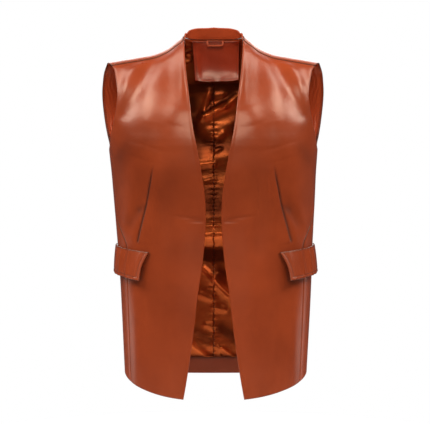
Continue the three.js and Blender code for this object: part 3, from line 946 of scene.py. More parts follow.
def back_columns():
    """Signed shares from the left side to the right, with one at each end of the neck seam."""
    beyond = BACK_WIDTH * (1 - NECK_SHARE)
    neck_count = round(BACK_WIDTH * NECK_SHARE / BACK_STEP)
    neck = np.linspace(0, NECK_SHARE, neck_count, endpoint=False)
    half = np.concatenate([neck, mix(NECK_SHARE, 1, shares(beyond, BACK_STEP))])
    return np.concatenate([half[::-1], -half[1:]])


def back_rows():
    """Climbs up to the ridge, and the climbs of the strip beyond it."""
    low = spaced(BODY_LENGTH + RISE_LENGTH, BACK_STEP)
    low = np.concatenate([low[low < low[-1] - EDGE_STEPS[-1]], [low[-1]]])
    strip = np.linspace(0, STRIP_LENGTH, STRIP_ROWS)[1:-1]
    strip = np.concatenate([strip, STRIP_LENGTH - np.array(EDGE_STEPS[::-1])])
    return low, low[-1] + np.unique(np.round(strip, 6))


def build_back():
    low, strip = back_rows()
    climb = np.concatenate([low, strip])
    share = back_columns()
    panel = Panel(back_grid(climb, share))
    side = panel.nearest(("first", "last"))
    lift = back_lift(panel) + edge_line(panel.from_top, STRIP_BEAD) * (climb > low[-1])[:, None]
    lift += edge_line(side, BACK_SEAM_GROOVE) * (panel.z < ARMPIT)
    # Painted shade: dark lines in the side seams, along the hem and shoulder strip, and at the neck seam's
    # ends
    shade = seam_strength(panel.z, BACK_SEAM_LOSS) * edge_line(side, BACK_SEAM_SHADE)
    shade += edge_line(panel.from_foot, HEM_SHADE) + edge_line(panel.from_top, STRIP_SHADE)
    at_neck = eased((NECK_END_DEPTH - panel.y) / NECK_END_FADE) * (panel.z > NECK_END_FOOT)
    shade += edge_line(np.abs(panel.x), NECK_END_SHADE) * at_neck
    in_body = (np.arange(len(climb) - 1) < len(low) - 1)[:, None]
    beside_neck = np.abs(share[:-1] + share[1:]) / 2 > NECK_SHARE
    piece, _, _ = cloth("back", panel, lift - LEATHER / 2, shade, keep=in_body | beside_neck)
    finish_piece(piece, "back")


# Soft folds of the lining, the same for its solid: two ends, height and width
LINING_FOLDS = (
    (-0.034, -0.156, 0.066, -0.098, 0.006, 0.015),
    (-0.01, -0.176, 0.062, -0.15, 0.005, 0.016),
    (-0.062, -0.24, 0.04, -0.226, 0.005, 0.017),
    (-0.11, -0.398, 0.12, -0.384, 0.007, 0.015),
    (-0.04, -0.444, 0.004, -0.478, 0.005, 0.014),
    (0.002, -0.48, 0.044, -0.52, 0.005, 0.014),
    (-0.09, -0.588, -0.014, -0.622, 0.005, 0.015),
    (0.07, -0.3, 0.15, -0.33, 0.005, 0.017),
    (-0.15, -0.29, -0.08, -0.318, 0.005, 0.017),
    (0.08, -0.56, 0.14, -0.594, 0.005, 0.016),
)

# Finer creases of the lining, in the same columns
LINING_CREASES = (
    (-0.024, -0.14, -0.008, -0.088, 0.005, 0.006),
    (-0.024, -0.146, 0.024, -0.121, 0.0065, 0.0075),
    (0.024, -0.121, 0.05, -0.101, 0.006, 0.007),
    (0.002, -0.1, 0.018, -0.098, 0.003, 0.007),
    (0.008, -0.19, 0.02, -0.18, 0.004, 0.007),
    (0.004, -0.216, 0.014, -0.212, 0.003, 0.005),
    (-0.032, -0.247, -0.002, -0.243, 0.0055, 0.0065),
    (-0.02, -0.28, 0, -0.276, 0.0025, 0.005),
    (-0.034, -0.374, 0.034, -0.371, -0.004, 0.003),
    (-0.04, -0.392, 0.034, -0.39, 0.005, 0.016),
    (-0.04, -0.435, 0.034, -0.436, -0.006, 0.014),
    (-0.024, -0.46, 0.002, -0.481, 0.0065, 0.0055),
    (0.004, -0.488, 0.032, -0.514, 0.0065, 0.0055),
    (-0.03, -0.515, -0.004, -0.526, 0.003, 0.008),
    (0.004, -0.544, 0.02, -0.548, 0.004, 0.006),
    (-0.016, -0.58, 0, -0.584, 0.003, 0.006),
    (-0.052, -0.621, -0.012, -0.65, 0.007, 0.0085),
    (0.01, -0.626, 0.014, -0.649, 0.004, 0.0035),
    (0.018, -0.63, 0.042, -0.648, 0.0055, 0.005),
    (0.11, -0.2, 0.15, -0.26, 0.0035, 0.01),
    (-0.12, -0.19, -0.155, -0.25, 0.0035, 0.01),
    (0.06, -0.48, 0.12, -0.5, 0.0035, 0.01),
    (-0.13, -0.47, -0.07, -0.505, 0.0035, 0.01),
)

# Small gathers of the lining beside the patch
LINING_BUNCH = (
    (-0.062, 0.004, -0.051, 0.001, 0.005, 0.0032),
    (-0.062, -0.01, -0.051, -0.006, 0.0055, 0.0034),
    (-0.061, -0.018, -0.051, -0.021, 0.005, 0.0032),
    (-0.061, -0.032, -0.051, -0.029, 0.0045, 0.0034),
)

# Painted shade on the lining: a base darkness, more where it lies deep, and painted light, less darkness,
# where it stands out: two ends, darkness and width
LINING_BASE_PAINTED_SHADE = 0.55
LINING_DEEPEST_PAINTED_SHADE = 0.92
LINING_PAINTED_SHADE_AND_LIGHT = (
    (-0.06, -0.086, 0.06, -0.084, 0.6, 0.01),
    (-0.022, -0.136, 0.024, -0.109, 0.75, 0.0035),
    (0.024, -0.109, 0.05, -0.088, 0.75, 0.005),
    (0.002, -0.088, -0.01, -0.127, 0.5, 0.004),
    (-0.018, -0.124, -0.01, -0.098, -0.4, 0.006),
    (-0.01, -0.142, 0.034, -0.122, -0.65, 0.011),
    (-0.046, -0.11, -0.034, -0.23, 0.4, 0.013),
    (0.048, -0.15, 0.036, -0.3, 0.4, 0.01),
    (0.006, -0.184, 0.018, -0.178, -0.4, 0.005),
    (-0.016, -0.2, 0.03, -0.208, 0.4, 0.013),
    (-0.03, -0.242, -0.004, -0.24, -0.45, 0.005),
    (-0.03, -0.262, 0.02, -0.262, 0.25, 0.01),
    (-0.04, -0.3, 0.04, -0.304, 0.38, 0.016),
    (-0.04, -0.334, 0.04, -0.338, 0.5, 0.02),
    (-0.04, -0.392, 0.04, -0.392, -0.45, 0.016),
    (-0.044, -0.433, 0.04, -0.436, 0.65, 0.014),
    (-0.022, -0.459, 0.001, -0.477, -0.4, 0.004),
    (0.003, -0.484, 0.03, -0.508, -0.4, 0.004),
    (0.012, -0.466, 0.036, -0.476, 0.3, 0.009),
    (0.016, -0.588, 0.05, -0.612, 0.45, 0.013),
    (-0.05, -0.59, -0.01, -0.612, 0.3, 0.012),
    (-0.05, -0.618, -0.012, -0.646, -0.35, 0.006),
    (0.018, -0.628, 0.042, -0.645, -0.35, 0.004),
    (-0.06, -0.646, 0.06, -0.646, 0.5, 0.004),
)

# Where the folds and the creases start below the patch, and over what height
FOLDS_TOP = -0.0995
CREASES_TOP = -0.0775
FOLDS_START = 0.026

# The puckered seam: its top, its puckers, its groove, and its wander with the reach and pitch of that.
# A drift is its size in radians and its rate in radians per metre.
LINING_SEAM_TOP = -0.085
LINING_SEAM_START = 0.03
PUCKER_PITCH = 0.0090
PUCKER_DRIFTS = ((1.7, 95),)
PUCKER_HEIGHT = 0.0012
PUCKER_REACH = 0.0048
PUCKER_SPREAD = 0.3
PUCKER_SPREAD_RATE = 61
PUCKER_GROOVE = (0.0004, 0, 0.0016)
WANDER = 0.0011
WANDER_PITCH = 0.0142
WANDER_DRIFTS = ((1.9, 70),)
WANDER_REACH = 0.008

# The lining's grid: rows below and beside the armhole, and columns with closer ones at the seam
LINING_ROW = 0.0024
LINING_HIGH_ROW = 0.0085
LINING_CENTRE_SHARE = 0.12
LINING_CENTRE_COLUMNS = 20
LINING_COLUMNS = 66
LINING_SIDE_COLUMNS = 14
LINING_STITCH_INSET = 0.0004


def uneven_wave(phase, along, drifts):
    """A wave whose phase drifts along a length, so that it isn't even."""
    for size, rate in drifts:
        phase = phase + size * np.sin(rate * along)
    return np.sin(phase)


def lining_lift(x, z):
    """How far the lining's folds and puckers stand off the back, towards the wearer."""
    folds = fold_lift(LINING_FOLDS, x, z) * eased((FOLDS_TOP - z) / FOLDS_START)
    creases = fold_lift(LINING_CREASES, x, z) * eased((CREASES_TOP - z) / FOLDS_START)
    bunch = fold_lift(LINING_BUNCH, x, z)
    sewn = eased((LINING_SEAM_TOP - z) / LINING_SEAM_START)
    strength = 1 - PUCKER_SPREAD + PUCKER_SPREAD * np.sin(z * PUCKER_SPREAD_RATE)
    uneven = uneven_wave(2 * np.pi * z / PUCKER_PITCH, z, PUCKER_DRIFTS) * strength
    puckers = PUCKER_HEIGHT * (1 + uneven) * np.exp(-np.abs(x) / PUCKER_REACH)
    return np.maximum(folds + creases + bunch + (puckers - edge_line(x, PUCKER_GROOVE)) * sewn, 0)


def seam_wander(places):
    """The puckered seam's sideways wander, which dies out away from the seam."""
    x, z = places[..., 0], places[..., 2]
    wander = WANDER * uneven_wave(2 * np.pi * z / WANDER_PITCH, z, WANDER_DRIFTS)
    places[..., 0] += wander * np.exp(-np.abs(x) / WANDER_REACH)
    return places


def build_lining():
    low = np.arange(HEM_FACING_TOP + SEAM_GAP - HEM, BODY_LENGTH, LINING_ROW)
    high = BODY_LENGTH + np.arange(0, FACING_TOP_RISE, LINING_HIGH_ROW) * RISE_LENGTH
    climb = np.concatenate([low, high, [BODY_LENGTH + FACING_TOP_RISE * RISE_LENGTH]])
    centre = np.linspace(0, LINING_CENTRE_SHARE, LINING_CENTRE_COLUMNS, endpoint=False)
    even = np.linspace(LINING_CENTRE_SHARE, FACING_SHARE - LINING_TRIM, LINING_COLUMNS)
    side = np.linspace(FACING_SHARE, 1, LINING_SIDE_COLUMNS)
    share = np.concatenate([centre, even, side])
    points = back_half(climb, share)
    points[:, -1, 0] = SEAM_GAP / 2
    below_armhole = (np.arange(len(climb) - 1) < len(low) - 1)[:, None]
    keep = below_armhole | (np.arange(len(share) - 1) >= len(side))
    for node, panel in both("lining", points):
        lift = lining_lift(panel.x, panel.z) + back_dent(panel)
        outer = seam_wander(panel.moved(LINING_INNER + LINING_WALL - lift))
        inner = seam_wander(panel.moved(LINING_INNER - lift))
        # Painted shade over the whole lining, deeper in its hollows and lighter, as painted light, where it
        # stands out
        shade = LINING_BASE_PAINTED_SHADE + fold_lift(LINING_PAINTED_SHADE_AND_LIGHT, panel.x, panel.z)
        cells = keep[:, :: panel.side]
        piece = shell(node, outer, inner, [satin], cells, np.clip(shade, 0, LINING_DEEPEST_PAINTED_SHADE))
        finish_piece(piece, node)
        if panel.side > 0:
            rows = np.flatnonzero(panel.z[:, -1] < LINING_SEAM_TOP)
            path = inner[rows, -1] + np.array([LINING_STITCH_INSET, 0, 0])
            stitches("lining_seam_stitches", path, -panel.normals[rows, -1], LINING_SEWING)


# The facings' grids, ripples, and painted shade: the hem facing's darkening, lines of shade along edges and
# the armhole facing's darker foot
HEM_FACING_COLUMNS = 181
HEM_FACING_ROW = 0.003
HEM_RIPPLE = 0.0004
HEM_RIPPLE_RATE = 62
HEM_RIPPLE_DRIFTS = ((1.1, 23),)
HEM_RIPPLE_START = 0.012
HEM_FACING_PAINTED_SHADE = 0.72
HEM_FACING_TOP_SHADE = (0.25, 0, 0.004)
ARMHOLE_FACING_WIDTH = 0.032
ARMHOLE_FACING_ROW = 0.002
ARMHOLE_FACING_COLUMN = 0.0014
WRINKLE = 0.0007
WRINKLE_RATE = 700
WRINKLE_SLANT = 130
WRINKLE_DRIFTS = ((2.2, 55), (1.3, 140))
WRINKLE_INSET = 0.006
WRINKLE_START = 0.02
ARMHOLE_EDGE_SHADE = (0.7, 0, 0.0020)
ARMHOLE_FOOT_PAINTED_SHADE = 0.9
ARMHOLE_FOOT_LEVEL = -0.175
ARMHOLE_FOOT_FADE = 0.04
FACING_STITCH_INSET = 0.0035
FACING_STITCH_ROWS = slice(4, -4)


def facing_middle(lift):
    """Place of a facing's middle against the back's outside, with what lifts it off the back."""
    return -LEATHER - SEAM_GAP - FACING_WALL / 2 - lift


def build_hem_facing():
    climb = spaced(HEM_FACING_TOP - HEM - SEAM_GAP, HEM_FACING_ROW) + SEAM_GAP
    panel = Panel(back_grid(climb, np.linspace(1, -1, HEM_FACING_COLUMNS)))
    wave = 1 + uneven_wave(HEM_RIPPLE_RATE * panel.x, panel.x, HEM_RIPPLE_DRIFTS)
    ripple = HEM_RIPPLE * wave * eased(panel.from_foot / HEM_RIPPLE_START)
    # Painted shade over the whole hem facing, and more along its top
    shade = HEM_FACING_PAINTED_SHADE + edge_line(panel.from_top, HEM_FACING_TOP_SHADE)
    piece, _, _ = cloth("hem_facing", panel, facing_middle(ripple + back_dent(panel)), shade)
    finish_piece(piece, "hem_facing")


def build_armhole_facings():
    """Facings inside the back armholes, with small drawn wrinkles and a row of contrast stitches."""
    climb = BODY_LENGTH + spaced(FACING_TOP_RISE * RISE_LENGTH, ARMHOLE_FACING_ROW)
    across = shares(ARMHOLE_FACING_WIDTH, ARMHOLE_FACING_COLUMN)
    for node, panel in both("armhole_facing", back_half(climb, mix(FACING_SHARE, 1, across))):
        edge = panel.near
        phase = edge * WRINKLE_RATE + panel.z * WRINKLE_SLANT
        drawn = eased((edge - WRINKLE_INSET) / WRINKLE_INSET) * eased(panel.from_foot / WRINKLE_START)
        wrinkle = WRINKLE * (1 + uneven_wave(phase, panel.z, WRINKLE_DRIFTS)) * drawn
        # Painted shade along the facing's outer edge and over its foot
        foot_shade = ARMHOLE_FOOT_PAINTED_SHADE * eased((ARMHOLE_FOOT_LEVEL - panel.z) / ARMHOLE_FOOT_FADE)
        middle = facing_middle(wrinkle + back_dent(panel))
        piece, _, inner = cloth(node, panel, middle, edge_line(edge, ARMHOLE_EDGE_SHADE) + foot_shade)
        column = np.argmin(np.abs(edge[len(climb) // 2] - FACING_STITCH_INSET))
        path = inner[FACING_STITCH_ROWS, column]
        normals = -panel.normals[FACING_STITCH_ROWS, column]
        finish_piece(piece, node, [stitches(f"{node}_stitches", path, normals, FACING_SEWING)])


# The pocket flap's corners: angle round from the front, level
FLAP_FRONT_TOP = (37.5, -0.424)
FLAP_REAR_TOP = (93, -0.407)
FLAP_FRONT_FOOT = (43.5, -0.480)
FLAP_REAR_FOOT = (97, -0.461)

# How the flap stands off the body and curls at its front edge, which is hollowed by some degrees
FLAP_LENGTH = 0.135
FLAP_DROP = 0.062
FLAP_STEP = 0.0018
FLAP_SEAT = 0.0008
FLAP_STAND_OFF = 0.008
FLAP_STAND_OFF_POWER = 0.9
FLAP_CURL = 0.007
FLAP_CURL_SHARE = 0.22
FLAP_HOLLOW = 1.9
FLAP_HOLLOW_SHARE = 0.4

# Ripples that run down the flap: share from its front edge at the top and foot, height and width
FLAP_RIPPLES = (
    (0.33, 0.27, 0.003, 0.032),
    (0.42, 0.39, -0.0016, 0.03),
    (0.51, 0.5, 0.003, 0.03),
    (0.68, 0.64, 0.002, 0.046),
    (0.88, 0.85, 0.0014, 0.04),
    (0.12, 0.08, 0.0014, 0.034),
)
RIPPLE_LEAST = 0.35
RIPPLE_MARGIN = 0.12

# The flap's row of stitches, and lines along its edges, with painted shade under its top edge, on its
# stitch line and at its edges
FLAP_INSET = 0.0065
FLAP_GROOVE_START = 0.002
FLAP_STITCH_END_ROWS = 5
FLAP_GROOVE = (-0.0005, FLAP_INSET, 0.0013)
FLAP_BEAD = (0.0004, 0.003, 0.0025)
FLAP_TOP_SHADE = (0.8, 0, 0.0022)
FLAP_STITCH_SHADE = (0.35, FLAP_INSET, 0.0009)
FLAP_EDGE_SHADE = (0.35, 0, 0.0012)


def flap_points(up, share):
    """Points of the left flap on the body, from its foot up and from its front edge back."""
    corners = (FLAP_FRONT_FOOT, FLAP_REAR_FOOT, FLAP_FRONT_TOP, FLAP_REAR_TOP)
    front_foot, rear_foot, front_top, rear_top = (np.array(corner) for corner in corners)
    foot = mix(front_foot, rear_foot, share[..., None])
    top = mix(front_top, rear_top, share[..., None])
    at = mix(foot, top, up[..., None])
    hollow = FLAP_HOLLOW * np.sin(np.pi * up) * eased(1 - share / FLAP_HOLLOW_SHARE)
    return body_place(at[..., 1], at[..., 0] + hollow)


def flap_lift(up, share):
    """How far the flap stands off the body, with its ripples."""
    lift = FLAP_SEAT + FLAP_STAND_OFF * (1 - up) ** FLAP_STAND_OFF_POWER
    lift = lift + FLAP_CURL * (1 - up) * line_shade(share, FLAP_CURL_SHARE)
    strength = mix(RIPPLE_LEAST, 1, np.sin(np.pi * mix(RIPPLE_MARGIN, 1 - RIPPLE_MARGIN, up)))
    for top, foot, height, width in FLAP_RIPPLES:
        lift = lift + height * strength * line_shade(share - mix(foot, top, up), width)
    return lift


def flap_stitches(node, panel, outer):
    """A row of stitches down the flap's front edge and along its foot."""
    rows = len(outer)
    foot_row = np.argmin(np.abs(panel.from_foot[:, 0] - FLAP_INSET))
    inside = (panel.near[foot_row] > FLAP_INSET) & (panel.far[foot_row] > FLAP_INSET)
    columns = np.flatnonzero(inside)[:: panel.side]
    front_column = np.argmin(np.abs(panel.near[rows // 2] - FLAP_INSET))
    side_rows = np.arange(rows - FLAP_STITCH_END_ROWS, foot_row, -1)
    path, normals = (
        np.concatenate([places[side_rows, front_column], places[foot_row, columns]])
        for places in (outer, panel.normals)
    )
    return stitches(f"{node}_stitches", path, normals, FLAP_SEWING)


def build_flaps():
    up = shares(FLAP_DROP, FLAP_STEP)[:, None]
    share = shares(FLAP_LENGTH, FLAP_STEP)[None, :]
    lift = flap_lift(up, share)
    for node, panel in both("pocket_flap", flap_points(up, share)):
        edge = panel.nearest(("first", "last", "foot"))
        relief = edge_line(edge, FLAP_GROOVE) * (panel.from_top > FLAP_GROOVE_START)
        relief += edge_line(edge, FLAP_BEAD)
        # Painted shade under the flap's top edge, on its stitch line and at its edges
        shade = edge_line(panel.from_top, FLAP_TOP_SHADE)
        shade += edge_line(edge, FLAP_STITCH_SHADE) + edge_line(edge, FLAP_EDGE_SHADE)
        middle = lift[:, :: panel.side] + FLAP_WALL / 2
        piece, outer, _ = cloth(node, panel, middle, shade, relief)
        finish_piece(piece, node, [flap_stitches(node, panel, outer)])


# The leather patch under the back neck: its edges, its foot, how it stands off, and its size for the grid
PATCH_LEFT_EDGE = 0.055
PATCH_TOP_RIGHT = -0.0465
PATCH_FOOT_RIGHT = -0.0405
PATCH_FOOT = -0.0693
PATCH_SAG = 0.0045
PATCH_SEAT = 0.0013
PATCH_FLARE = 0.012
PATCH_WIDTH = 0.1
PATCH_DROP = 0.082
PATCH_STEP = 0.0018

# Soft swells of the patch: two ends, height and width
PATCH_FOLDS = (
    (-0.022, -0.08, -0.012, -0.078, 0.0076, 0.018),
    (0.03, -0.074, 0.042, -0.072, 0.0066, 0.016),
    (-0.038, -0.02, -0.034, -0.06, 0.0022, 0.007),
    (0, -0.016, 0.03, -0.022, 0.0016, 0.012),
)

# Lines along the patch's edges, with painted shade at its edges, on its seam line and under its top
PATCH_BEAD = (0.0003, 0.005, 0.0012)
PATCH_EDGE_SHADE = (0.3, 0, 0.0012)
PATCH_SEAM_SHADE = (0.3, 0.005, 0.0008)
PATCH_TOP_SHADE = (0.6, 0, 0.003)

# The hanging loop: a flat strap from the neck seam and back, with rounded corners, darkened by painted
# shade. Painted shade darkens the patch seen through the slot inside it.
LOOP_CENTRE = 0.003
LOOP_HALF = 0.018
LOOP_STRAP = 0.004
LOOP_FOOT = -0.0035
LOOP_TOP = 0.0086
LOOP_TOP_STAND_OFF = 0.0052
LOOP_FOOT_STAND_OFF = 0.0066
LOOP_CORNER = 0.003
LOOP_SIDES = 16
LOOP_SQUARENESS = 4
LOOP_PAINTED_SHADE = 0.25
LOOP_DOWN_RINGS = 8
LOOP_CORNER_RINGS = 9
LOOP_ACROSS_RINGS = 10
LOOP_SLOT_SHADE = (0.75, 0.0022, 0.0045)


def build_patch():
    up = shares(PATCH_DROP, PATCH_STEP)[:, None]
    across = shares(PATCH_WIDTH, PATCH_STEP)[None, :]
    x = mix(PATCH_LEFT_EDGE, mix(PATCH_FOOT_RIGHT, PATCH_TOP_RIGHT, up), across)
    out = np.abs(x)
    top = back_height(neck_rise(out), out) - SEAM_GAP
    height = mix(PATCH_FOOT + PATCH_SAG * (x / PATCH_LEFT_EDGE) ** 2, top, up)
    points = blade_place(rise_where(lambda rise: back_height(rise, out), height), out)
    points[..., 0] = x
    panel = Panel(points)
    edge = panel.nearest(("first", "last", "foot"))
    lift = PATCH_FLARE * (1 - up) ** 2 + fold_lift(PATCH_FOLDS, x, panel.z) - edge_line(edge, PATCH_BEAD)
    in_slot = eased((LOOP_HALF - np.abs(x - LOOP_CENTRE)) / LOOP_STRAP)
    # Painted shade at the patch's edges and seam line, under its top, and where it shows through the loop's
    # slot
    shade = edge_line(edge, PATCH_EDGE_SHADE) + edge_line(edge, PATCH_SEAM_SHADE)
    shade += edge_line(panel.from_top, PATCH_TOP_SHADE) + edge_line(panel.z, LOOP_SLOT_SHADE) * in_slot
    piece, _, _ = cloth("neck_patch", panel, LINING_INNER - PATCH_SEAT - FACING_WALL / 2 - lift, shade)
    finish_piece(piece, "neck_patch")


# The neck band, by its rise over the neck seam and its lean towards the neck
BAND_BACK_RISE = 0.024
BAND_SIDE_RISE = 0.0095
BAND_END_RISE = 0.0135
BAND_BACK_LEAN = 0.008
BAND_SIDE_LEAN = 0.0045
BAND_END_LEAN = 0.0015
BAND_END_SET_BACK = 0.006
BAND_CORNER_DROP = 0.0030
BAND_CORNER_WIDTH = 0.0035

# The band's grid, its soft wave, its painted shade all over, and the groove and painted shade along its
# foot
BAND_NECK_COLUMNS = 46
BAND_STRIP_STEP = 0.0016
BAND_ROW = 0.0014
BAND_WAVE = 0.0006
BAND_WAVE_RATE = 110
BAND_WAVE_SHIFT = 0.8
BAND_WAVE_START = 0.012
BAND_GROOVE = (0.0005, 0.0032, 0.0012)
BAND_PAINTED_SHADE = 0.18
BAND_FOOT_SHADE = (0.7, 0, 0.0016)


def band_seam():
    """The left half of the seam that the band stands on, from the centre back to the forward seam."""
    out = shoulder_out(np.linspace(0, 1, BAND_NECK_COLUMNS) * NECK_SHARE, NECK_HALF)
    neck = np.stack([out, neck_depth(out), back_height(neck_rise(out), out)], axis=-1)
    end_rise = SHOULDER_SEAM_RISE + SEAM_GAP / -ARMPIT
    fall = shares(STRIP_LENGTH, BAND_STRIP_STEP)[len(EDGE_STEPS) :]
    strip = chest_place(mix(1, end_rise, fall), np.full_like(fall, NECK_HALF))
    return np.concatenate([neck, strip])


def band_stand(seam):
    """How far each point of the band's top stands from the seam below it."""
    depth = seam[:, 1]
    ahead = np.clip(depth / seam[-1, 1], 0, 1)
    behind = eased(depth / NECK_BACK)
    rise = mix(mix(BAND_SIDE_RISE, BAND_END_RISE, ahead), BAND_BACK_RISE, behind)
    rise = rise - BAND_CORNER_DROP * line_shade(seam[:, 0] - NECK_HALF, BAND_CORNER_WIDTH)
    lean = mix(mix(BAND_SIDE_LEAN, BAND_END_LEAN, ahead), BAND_BACK_LEAN, behind)
    inward = np.stack([-seam[:, 0], -np.maximum(depth, 0), np.zeros_like(depth)], axis=-1)
    inward *= (lean / np.linalg.norm(inward, axis=1))[:, None]
    return inward + np.stack([np.zeros_like(depth), BAND_END_SET_BACK * ahead, rise], axis=-1)


def build_band():
    """The band stands on the neck seam, folded over at its top."""
    seam = band_seam()
    climb = shares(BAND_BACK_RISE, BAND_ROW)[:, None, None]
    half = seam + np.array([0, 0, SEWN_GAP]) + band_stand(seam) * climb
    panel = Panel(np.concatenate([half[:, ::-1], half[:, 1:] * np.array([-1, 1, 1])], axis=1))
    wave = BAND_WAVE * np.sin(panel.x * BAND_WAVE_RATE + BAND_WAVE_SHIFT)
    middle = wave * eased(panel.from_foot / BAND_WAVE_START) - BAND_WALL / 2
    groove = edge_line(panel.from_foot, BAND_GROOVE)
    # Painted shade over the whole band, and more along its foot
    shade = BAND_PAINTED_SHADE + edge_line(panel.from_foot, BAND_FOOT_SHADE)
    piece, _, _ = cloth("neck_band", panel, middle, shade, -groove, groove)
    finish_piece(piece, "neck_band")


def loop_path():
    """The middle line of the strap, as distance out and height."""
    out = LOOP_HALF - LOOP_STRAP / 2
    foot = LOOP_FOOT + LOOP_STRAP / 2
    heights = np.linspace(LOOP_TOP, foot + LOOP_CORNER, LOOP_DOWN_RINGS)
    outs = np.linspace(out - LOOP_CORNER, 0, LOOP_ACROSS_RINGS)
    turn = np.linspace(0, np.pi / 2, LOOP_CORNER_RINGS)
    down = np.stack([np.full_like(heights, out), heights], axis=-1)
    corner = np.stack([np.cos(turn) - 1, -np.sin(turn)], axis=-1) * LOOP_CORNER + down[-1]
    across = np.stack([outs, np.full_like(outs, foot)], axis=-1)
    half = np.concatenate([down, corner[1:], across[1:]])
    return np.concatenate([half, half[-2::-1] * np.array([-1, 1])])


def build_loop():
    path = loop_path()
    x = LOOP_CENTRE + path[:, 0]
    up = (path[:, 1] - LOOP_FOOT) / (LOOP_TOP - LOOP_FOOT)
    y = neck_depth(np.abs(x)) - mix(LOOP_FOOT_STAND_OFF, LOOP_TOP_STAND_OFF, up) - FACING_WALL / 2
    run = np.gradient(path, axis=0)
    run /= np.linalg.norm(run, axis=1)[:, None]
    side = np.stack([-run[:, 1], np.zeros(len(run)), run[:, 0]], axis=-1)
    centre = np.stack([x, y, path[:, 1]], axis=-1)
    turn = np.linspace(0, 2 * np.pi, LOOP_SIDES, endpoint=False)
    wide = LOOP_STRAP / 2 * squared(np.cos(turn), LOOP_SQUARENESS)
    thick = FACING_WALL / 2 * squared(np.sin(turn), LOOP_SQUARENESS)
    ring = side[:, None] * wide[None, :, None] + np.array([0, 1, 0]) * thick[None, :, None]
    vertices = (centre[:, None] + ring).reshape(-1, 3)
    first = np.arange(LOOP_SIDES)
    last = first + (len(path) - 1) * LOOP_SIDES
    faces = [tube_faces(len(path), LOOP_SIDES), cap_faces(first)[:, ::-1], cap_faces(last)]
    piece = object_of("hanging_loop", vertices, np.concatenate(faces), [facing_leather])
    # Painted shade over the whole loop
    add_shade(piece, np.full(len(vertices), LOOP_PAINTED_SHADE))
    finish_piece(piece, "hanging_loop")


build_fronts()
build_back()
build_lining()
build_hem_facing()
build_armhole_facings()
build_flaps()
build_patch()
build_band()
build_loop()

# The stage: a pale floor that glows a little, so that it stays as bright as the studio
FLOOR = -0.82
FLOOR_RADIUS = 0.6
FLOOR_SIDES = 96
FLOOR_COLOUR = (0.92, 0.92, 0.92)
FLOOR_DARKEST = 0.985
FLOOR_GLOW = 0.3
FLOOR_MOTTLE_SCALE = 3


def floor_material():
    material, shader, coordinates = new_material("pale_floor")
    mottle = noise_of(material, coordinates, FLOOR_MOTTLE_SCALE)
    darker = tuple(part * FLOOR_DARKEST for part in FLOOR_COLOUR)
    fill(
        material,
        shader,
        Base_Color=blended(material, mottle, darker, FLOOR_COLOUR),
        Roughness=0.9,
        Specular_IOR_Level=0.1,
        Emission_Color=WHITE,
        Emission_Strength=FLOOR_GLOW,
    )
    return material


def build_stage():
    turn = np.linspace(0, 2 * np.pi, FLOOR_SIDES, endpoint=False)
    rim = np.stack([np.cos(turn), np.sin(turn), np.zeros_like(turn)], axis=-1) * FLOOR_RADIUS
    vertices = np.concatenate([rim, np.zeros((1, 3))]) + np.array([0, 0, FLOOR])
    a = np.arange(FLOOR_SIDES)
    faces = np.stack([a, (a + 1) % FLOOR_SIDES, np.full_like(a, FLOOR_SIDES)], axis=-1)
    object_of("floor", vertices, faces, [floor_material()])


# Soft boxes: name, place, target, width, height and power. Each side box has a twin on the right.
SIDE_BOXES = (
    ("side_box", (1.45, -0.88, 1.38), (0, 0, -0.15), 1.1, 0.95, 30),
    ("overhead_box", (1.05, 0.05, 1.47), (0.1, 0, -0.1), 0.7, 0.6, 7),
    ("bust_box", (1.9, -0.1, 0.85), (0.1, 0, -0.17), 0.6, 0.5, 9),
    ("edge_box", (1.3, 0.45, -0.72), (0, 0, -0.6), 0.4, 0.3, 0.7),
)
MIDDLE_BOXES = (
    ("front_box", (0, -2.9, 1.2), (0, 0, -0.3), 1.9, 1.4, 44),
    ("back_box", (0, 2.7, 1.2), (0, 0, -0.3), 3.6, 1.2, 55),
)

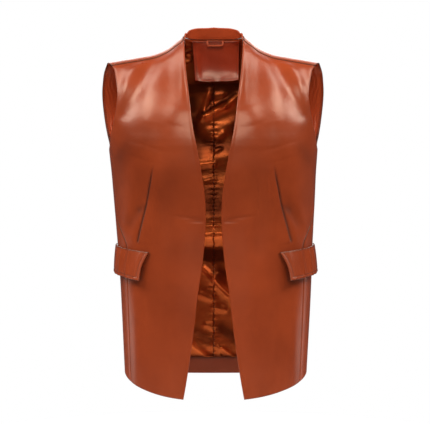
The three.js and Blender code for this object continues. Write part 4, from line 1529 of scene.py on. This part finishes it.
# How bright the white studio is for the piece. The camera sees it in full.
STUDIO_DIM = 0.07

CAMERA_PLACE = (0.0028, -3.5, -0.3507)
CAMERA_LENS = 144.55
SENSOR_WIDTH = 36


def direction_of(aim):
    """Rotation of a lamp or camera that looks along aim, upright."""
    flat = np.hypot(aim[0], aim[1])
    return (np.arctan2(flat, -aim[2]), 0, np.arctan2(-aim[0], aim[1]))


def add_light(name, place, target, width, height, power):
    lamp = bpy.data.lights.new(name, "AREA")
    lamp.shape = "RECTANGLE"
    lamp.size = width
    lamp.size_y = height
    lamp.energy = power
    light = bpy.data.objects.new(name, lamp)
    light.location = place
    light.rotation_euler = direction_of(np.array(target) - np.array(place))
    bpy.context.collection.objects.link(light)


def build_light():
    for name, place, target, width, height, power in SIDE_BOXES:
        for side, sign in (("left", 1), ("right", -1)):
            turn = np.array([sign, 1, 1])
            add_light(f"{name}_{side}", place * turn, target * turn, width, height, power)
    for box in MIDDLE_BOXES:
        add_light(*box)


def build_world():
    world = bpy.data.worlds.new("studio")
    bpy.context.scene.world = world
    world.use_nodes = True
    dim = world.node_tree.nodes["Background"]
    fill(world, dim, Color=WHITE, Strength=STUDIO_DIM)
    white = node_of(world, "ShaderNodeBackground", Color=WHITE)
    camera_ray = node_of(world, "ShaderNodeLightPath").outputs["Is Camera Ray"]
    seen = node_of(world, "ShaderNodeMixShader", Fac=camera_ray)
    world.node_tree.links.new(dim.outputs["Background"], seen.inputs[1])
    world.node_tree.links.new(white.outputs["Background"], seen.inputs[2])
    fill(world, world.node_tree.nodes["World Output"], Surface=seen.outputs["Shader"])


def build_camera():
    data = bpy.data.cameras.new("camera")
    data.lens = CAMERA_LENS
    data.sensor_width = SENSOR_WIDTH
    camera = bpy.data.objects.new("camera", data)
    camera.location = CAMERA_PLACE
    camera.rotation_euler = direction_of((0, 1, 0))
    bpy.context.collection.objects.link(camera)
    bpy.context.scene.camera = camera


build_stage()
build_light()
build_world()
build_camera()
bpy.context.scene.view_settings.view_transform = "Standard"
